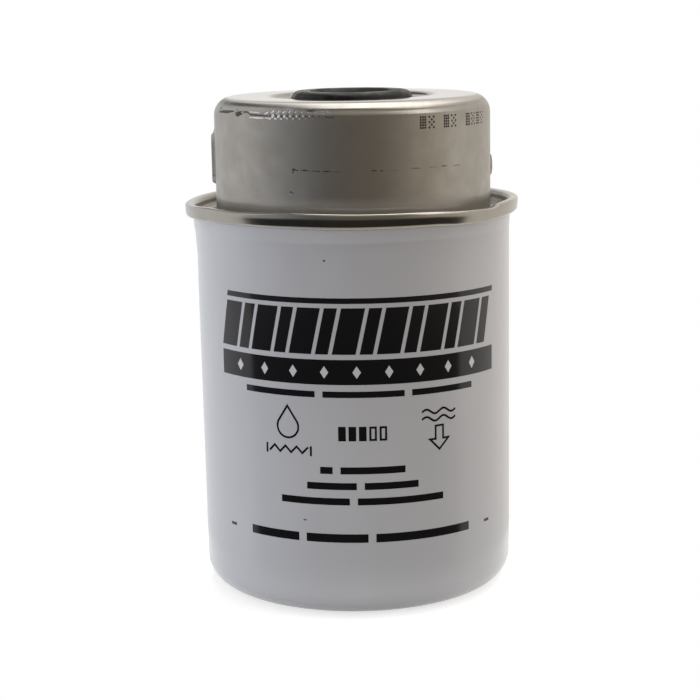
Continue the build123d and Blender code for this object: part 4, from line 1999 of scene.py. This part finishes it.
    def ragged(self, draw: random.Random, blot: Blot) -> list[Point]:
        """Gives the blot's outline with an uneven edge.

        Args:
            draw: Source of the unevenness.
            blot: The blot.

        Returns:
            Its outline.
        """
        shape = []
        for across, up in oval(0.0, 0.0, blot.half_width, blot.half_height, self.edge_corners):
            reach = draw.uniform(*self.edge_reach)
            shape.append((blot.along + across * reach, blot.level + (up + blot.rise * across) * reach))
        return shape


@dataclass(frozen=True)
class InnerPieces:
    """Element, seals, spring and drain: solids that keep their form and get their finish."""

    finishes: dict[str, Finish] = field(
        default_factory=lambda: {
            "upper_end_plate": PLATE,
            "secondary_potting_top": POTTING,
            "secondary_media": PAPER,
            "secondary_tube": PLATE,
            "water_screen": SCREEN,
            "secondary_potting_bottom": POTTING,
            "divider_plate": DIVIDER,
            "post_seal": RUBBER,
            "primary_potting_top": POTTING,
            "primary_media": PAPER,
            "primary_tube": PLATE,
            "primary_potting_bottom": POTTING,
            "lower_end_plate": PLATE,
            "element_spring": SPRING,
            "drain_insert": ZINC,
            "drain_gasket": RUBBER,
            "drain_plug": PLUG,
        }
    )

    def build(self) -> None:
        """Gives every solid that is still shown its finish."""
        for name, finish in self.finishes.items():
            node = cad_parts[name]
            node.data.materials.clear()
            node.data.materials.append(finish.make())
            log.info("%s: %s", name, finish.name)


@dataclass(frozen=True)
class Lamp:
    """Soft lamp with its tint, in metres and watts; a mirrored one shows in mirror images."""

    name: str
    place: Triple
    aim: Triple
    size: tuple[float, float]
    power: float
    mirrored: bool = False
    tint: Triple = (1.0, 1.0, 1.0)


@dataclass(frozen=True)
class Studio:
    """Plain studio: white tent behind, dim room in front, board, soft lamps and camera.

    Places and lengths are in metres. The surround is laid out by the direction from the
    cartridge: across (+X), deep (+Y, away from the camera) and high (+Z). A pair of shares
    says between which two one light passes into the next.
    """

    board_inside: float = 0.029
    board_outside: float = 0.062
    board_level: float = -0.00002
    board_turns: int = 96
    tent_edge: float = -0.145
    tent_softness: float = 0.03
    tent_left: Triple = (0.95, 0.96, 0.98)
    tent_right: Triple = (0.97, 0.93, 0.87)
    tent_across: Span = (-0.5, 0.5)
    gap_across: float = -0.42
    gap_half_width: float = 0.12
    gap_high: Span = (0.25, 0.4)
    gap_tint: Triple = (0.22, 0.21, 0.21)
    room_left: Triple = (0.93, 0.955, 1.02)
    room_right: Triple = (1.22, 1.1, 0.96)
    room_across: Span = (-0.6, 0.0)
    room_middle: float = 0.19
    room_sides: float = 0.65
    sides_across: Span = (0.45, 1.0)
    room_far_floor: float = 0.04
    room_near_floor: float = 0.6
    floor_high: Span = (-0.6, -0.4)
    table_high: Span = (-0.18, -0.12)
    ceiling: float = 0.24
    ceiling_high: Span = (0.5, 0.75)
    ceiling_deep: Span = (-0.45, -0.25)
    lamps: tuple[Lamp, ...] = (
        Lamp("overhead_softbox", (0.22, 0.33, 1.03), (0.22, 0.33, 0.0), (0.88, 0.9), 5.7, True),
        Lamp("right_softbox", (0.83, -0.4, 0.85), (0.0, 0.0, 0.08), (0.42, 0.42), 1.2, True),
        Lamp("left_fill", (-1.08, -0.45, 0.14), (0.0, 0.0, 0.06), (0.6, 0.6), 3.7, tint=(0.95, 0.98, 1.05)),
        Lamp("right_fill", (1.1, -0.35, 0.14), (0.0, 0.0, 0.06), (0.6, 0.6), 1.1),
        Lamp("table_card", (-0.03, -0.115, 0.0), (0.0, 0.0, 0.02), (0.3, 0.05), 0.03),
    )
    camera_place: Triple = (-0.001475, -0.4605, 0.1475)
    camera_pitch: float = 10.96
    camera_roll: float = -0.95
    focal_pixels: float = 1838.0
    image_pixels: float = 700.0
    sensor_mm: float = 36.0

    def build(self) -> None:
        """Sets up board, surround, lamps and camera."""
        self.lay_board()
        self.light_surround()
        for lamp in self.lamps:
            self.hang_lamp(lamp)
        self.set_camera()

    def lay_board(self) -> None:
        """Lays the board as a flat ring, whose hole the can's foot covers.

        Seen from below, light comes through the hole to the drain.
        """
        turns = np.radians(even_bearings(self.board_turns))
        places = [
            (radius * cos(turn), radius * sin(turn), self.board_level)
            for radius in (self.board_inside, self.board_outside)
            for turn in turns
        ]
        count = self.board_turns
        faces = [
            (this, this + count, (this + 1) % count + count, (this + 1) % count) for this in range(count)
        ]
        mesh = bpy.data.meshes.new("board")
        mesh.from_pydata(places, [], faces)
        mesh.materials.append(BOARD.make())
        link("board", mesh)

    def light_surround(self) -> None:
        """Makes the world, white to the camera all round.

        Light and mirror images come from one surround: a nearly white tent behind and beside
        the cartridge, and a dim room in front of it.
        """
        world = bpy.data.worlds.new("tent_and_room")
        bpy.context.scene.world = world
        world.use_nodes = True
        tree = world.node_tree
        direction = add_node(tree, "TexCoord").outputs["Generated"]
        across, deep, high = add_node(tree, "SeparateXYZ", {0: direction}).outputs
        tent = self.tent(tree, across, high)
        room = self.room(tree, across, deep, high)
        in_tent = add_node(
            tree,
            "MapRange",
            {
                "Value": deep,
                "From Min": self.tent_edge - self.tent_softness,
                "From Max": self.tent_edge + self.tent_softness,
            },
            interpolation_type="SMOOTHSTEP",
        )
        sides = {"Factor": in_tent, "A": room, "B": tent}
        around = add_node(tree, "Mix", sides, data_type="RGBA")
        seen = add_node(tree, "LightPath").outputs["Is Camera Ray"]
        backdrop = {"Factor": seen, "A": around, "B": linear("FFFFFF")}
        shown = add_node(tree, "Mix", backdrop, data_type="RGBA")
        tree.links.new(in_use(shown.outputs), tree.nodes["Background"].inputs["Color"])

    def tent(self, tree: Tree, across: Socket, high: Socket) -> Node:
        """Draws the tent, cooler on the left than on the right, with a dark gap overhead.

        Args:
            tree: The world's nodes.
            across: Share of the direction across.
            high: Share of the direction upwards.

        Returns:
            The node with the tent's light.
        """
        to_right = add_node(
            tree,
            "MapRange",
            {"Value": across, "From Min": self.tent_across[0], "From Max": self.tent_across[1]},
            interpolation_type="SMOOTHSTEP",
        )
        tints = {"Factor": to_right, "A": (*self.tent_left, 1.0), "B": (*self.tent_right, 1.0)}
        cloth = add_node(tree, "Mix", tints, data_type="RGBA")
        strip = {0: across, 1: self.gap_across, 2: self.gap_half_width}
        in_strip = add_node(tree, "Math", strip, operation="COMPARE")
        rise = {"Value": high, "From Min": self.gap_high[0], "From Max": self.gap_high[1]}
        overhead = add_node(tree, "MapRange", rise)
        gap = add_node(tree, "Math", {0: in_strip, 1: overhead}, operation="MULTIPLY")
        parted = {"Factor": gap, "A": cloth, "B": (*self.gap_tint, 1.0)}
        return add_node(tree, "Mix", parted, data_type="RGBA")

    def room(self, tree: Tree, across: Socket, deep: Socket, high: Socket) -> Node:
        """Draws the room in front: a dark floor far off, dim walls and a brighter ceiling.

        Args:
            tree: The world's nodes.
            across: Share of the direction across.
            deep: Share of the direction away from the camera.
            high: Share of the direction upwards.

        Returns:
            The node with the room's light.
        """
        aside = add_node(tree, "Math", {0: across}, operation="ABSOLUTE")
        rise = {
            "Value": aside,
            "From Min": self.sides_across[0],
            "From Max": self.sides_across[1],
            "To Min": self.room_middle,
            "To Max": self.room_sides,
        }
        walls = add_node(tree, "MapRange", rise)
        floor_light, over_table, overhead, forward, to_right = [
            add_node(
                tree,
                "MapRange",
                {"Value": share, "From Min": start, "From Max": end, "To Min": first, "To Max": last},
                interpolation_type="SMOOTHSTEP",
            )
            for share, (start, end), first, last in (
                (high, self.floor_high, self.room_near_floor, self.room_far_floor),
                (high, self.table_high, 0.0, 1.0),
                (high, self.ceiling_high, 0.0, self.ceiling),
                (deep, self.ceiling_deep, 1.0, 0.0),
                (across, self.room_across, 0.0, 1.0),
            )
        ]
        below = {"Factor": over_table, "A": floor_light, "B": walls}
        level = add_node(tree, "Mix", below, data_type="FLOAT")
        both = add_node(tree, "Math", {0: overhead, 1: forward, 2: level}, operation="MULTIPLY_ADD")
        tints = {"Factor": to_right, "A": (*self.room_left, 1.0), "B": (*self.room_right, 1.0)}
        tint = add_node(tree, "Mix", tints, data_type="RGBA")
        return add_node(tree, "VectorMath", {0: tint, "Scale": both}, operation="SCALE")

    def hang_lamp(self, lamp: Lamp) -> None:
        """Hangs a soft lamp.

        Args:
            lamp: The lamp.
        """
        light = bpy.data.lights.new(lamp.name, "AREA")
        light.shape = "RECTANGLE"
        light.size, light.size_y = lamp.size
        light.energy = lamp.power
        light.color = lamp.tint
        hung = link(lamp.name, light)
        hung.location = lamp.place
        gaze = Vector(lamp.aim) - Vector(lamp.place)
        hung.rotation_euler = gaze.to_track_quat("-Z", "Y").to_euler()
        hung.visible_camera = False
        hung.visible_glossy = lamp.mirrored

    def set_camera(self) -> None:
        """Sets the camera at the photograph's viewpoint."""
        lens = bpy.data.cameras.new("camera")
        lens.sensor_width = self.sensor_mm
        lens.lens = lens.sensor_width * self.focal_pixels / self.image_pixels
        camera = link("camera", lens)
        pitch = radians(self.camera_pitch)
        gaze = Vector((0, cos(pitch), -sin(pitch)))
        roll = Quaternion((0, 0, 1), radians(self.camera_roll))
        camera.rotation_mode = "QUATERNION"
        camera.rotation_quaternion = gaze.to_track_quat("-Z", "Y") @ roll
        camera.location = self.camera_place
        bpy.context.scene.camera = camera


def main() -> None:
    """Builds every sub-assembly in order."""
    logging.basicConfig(level=logging.INFO, format="%(name)s: %(message)s")
    seam = DoubleSeam()
    can = Can(seam)
    cap = Cap(seam)
    parts = (can, cap, seam, Grommet(), PrintedSide(can), SurfaceMarks(can, cap), InnerPieces(), Studio())
    for part in parts:
        part.build()
    bpy.context.scene.view_settings.view_transform = "Standard"


if __name__ == "__main__":
    main()
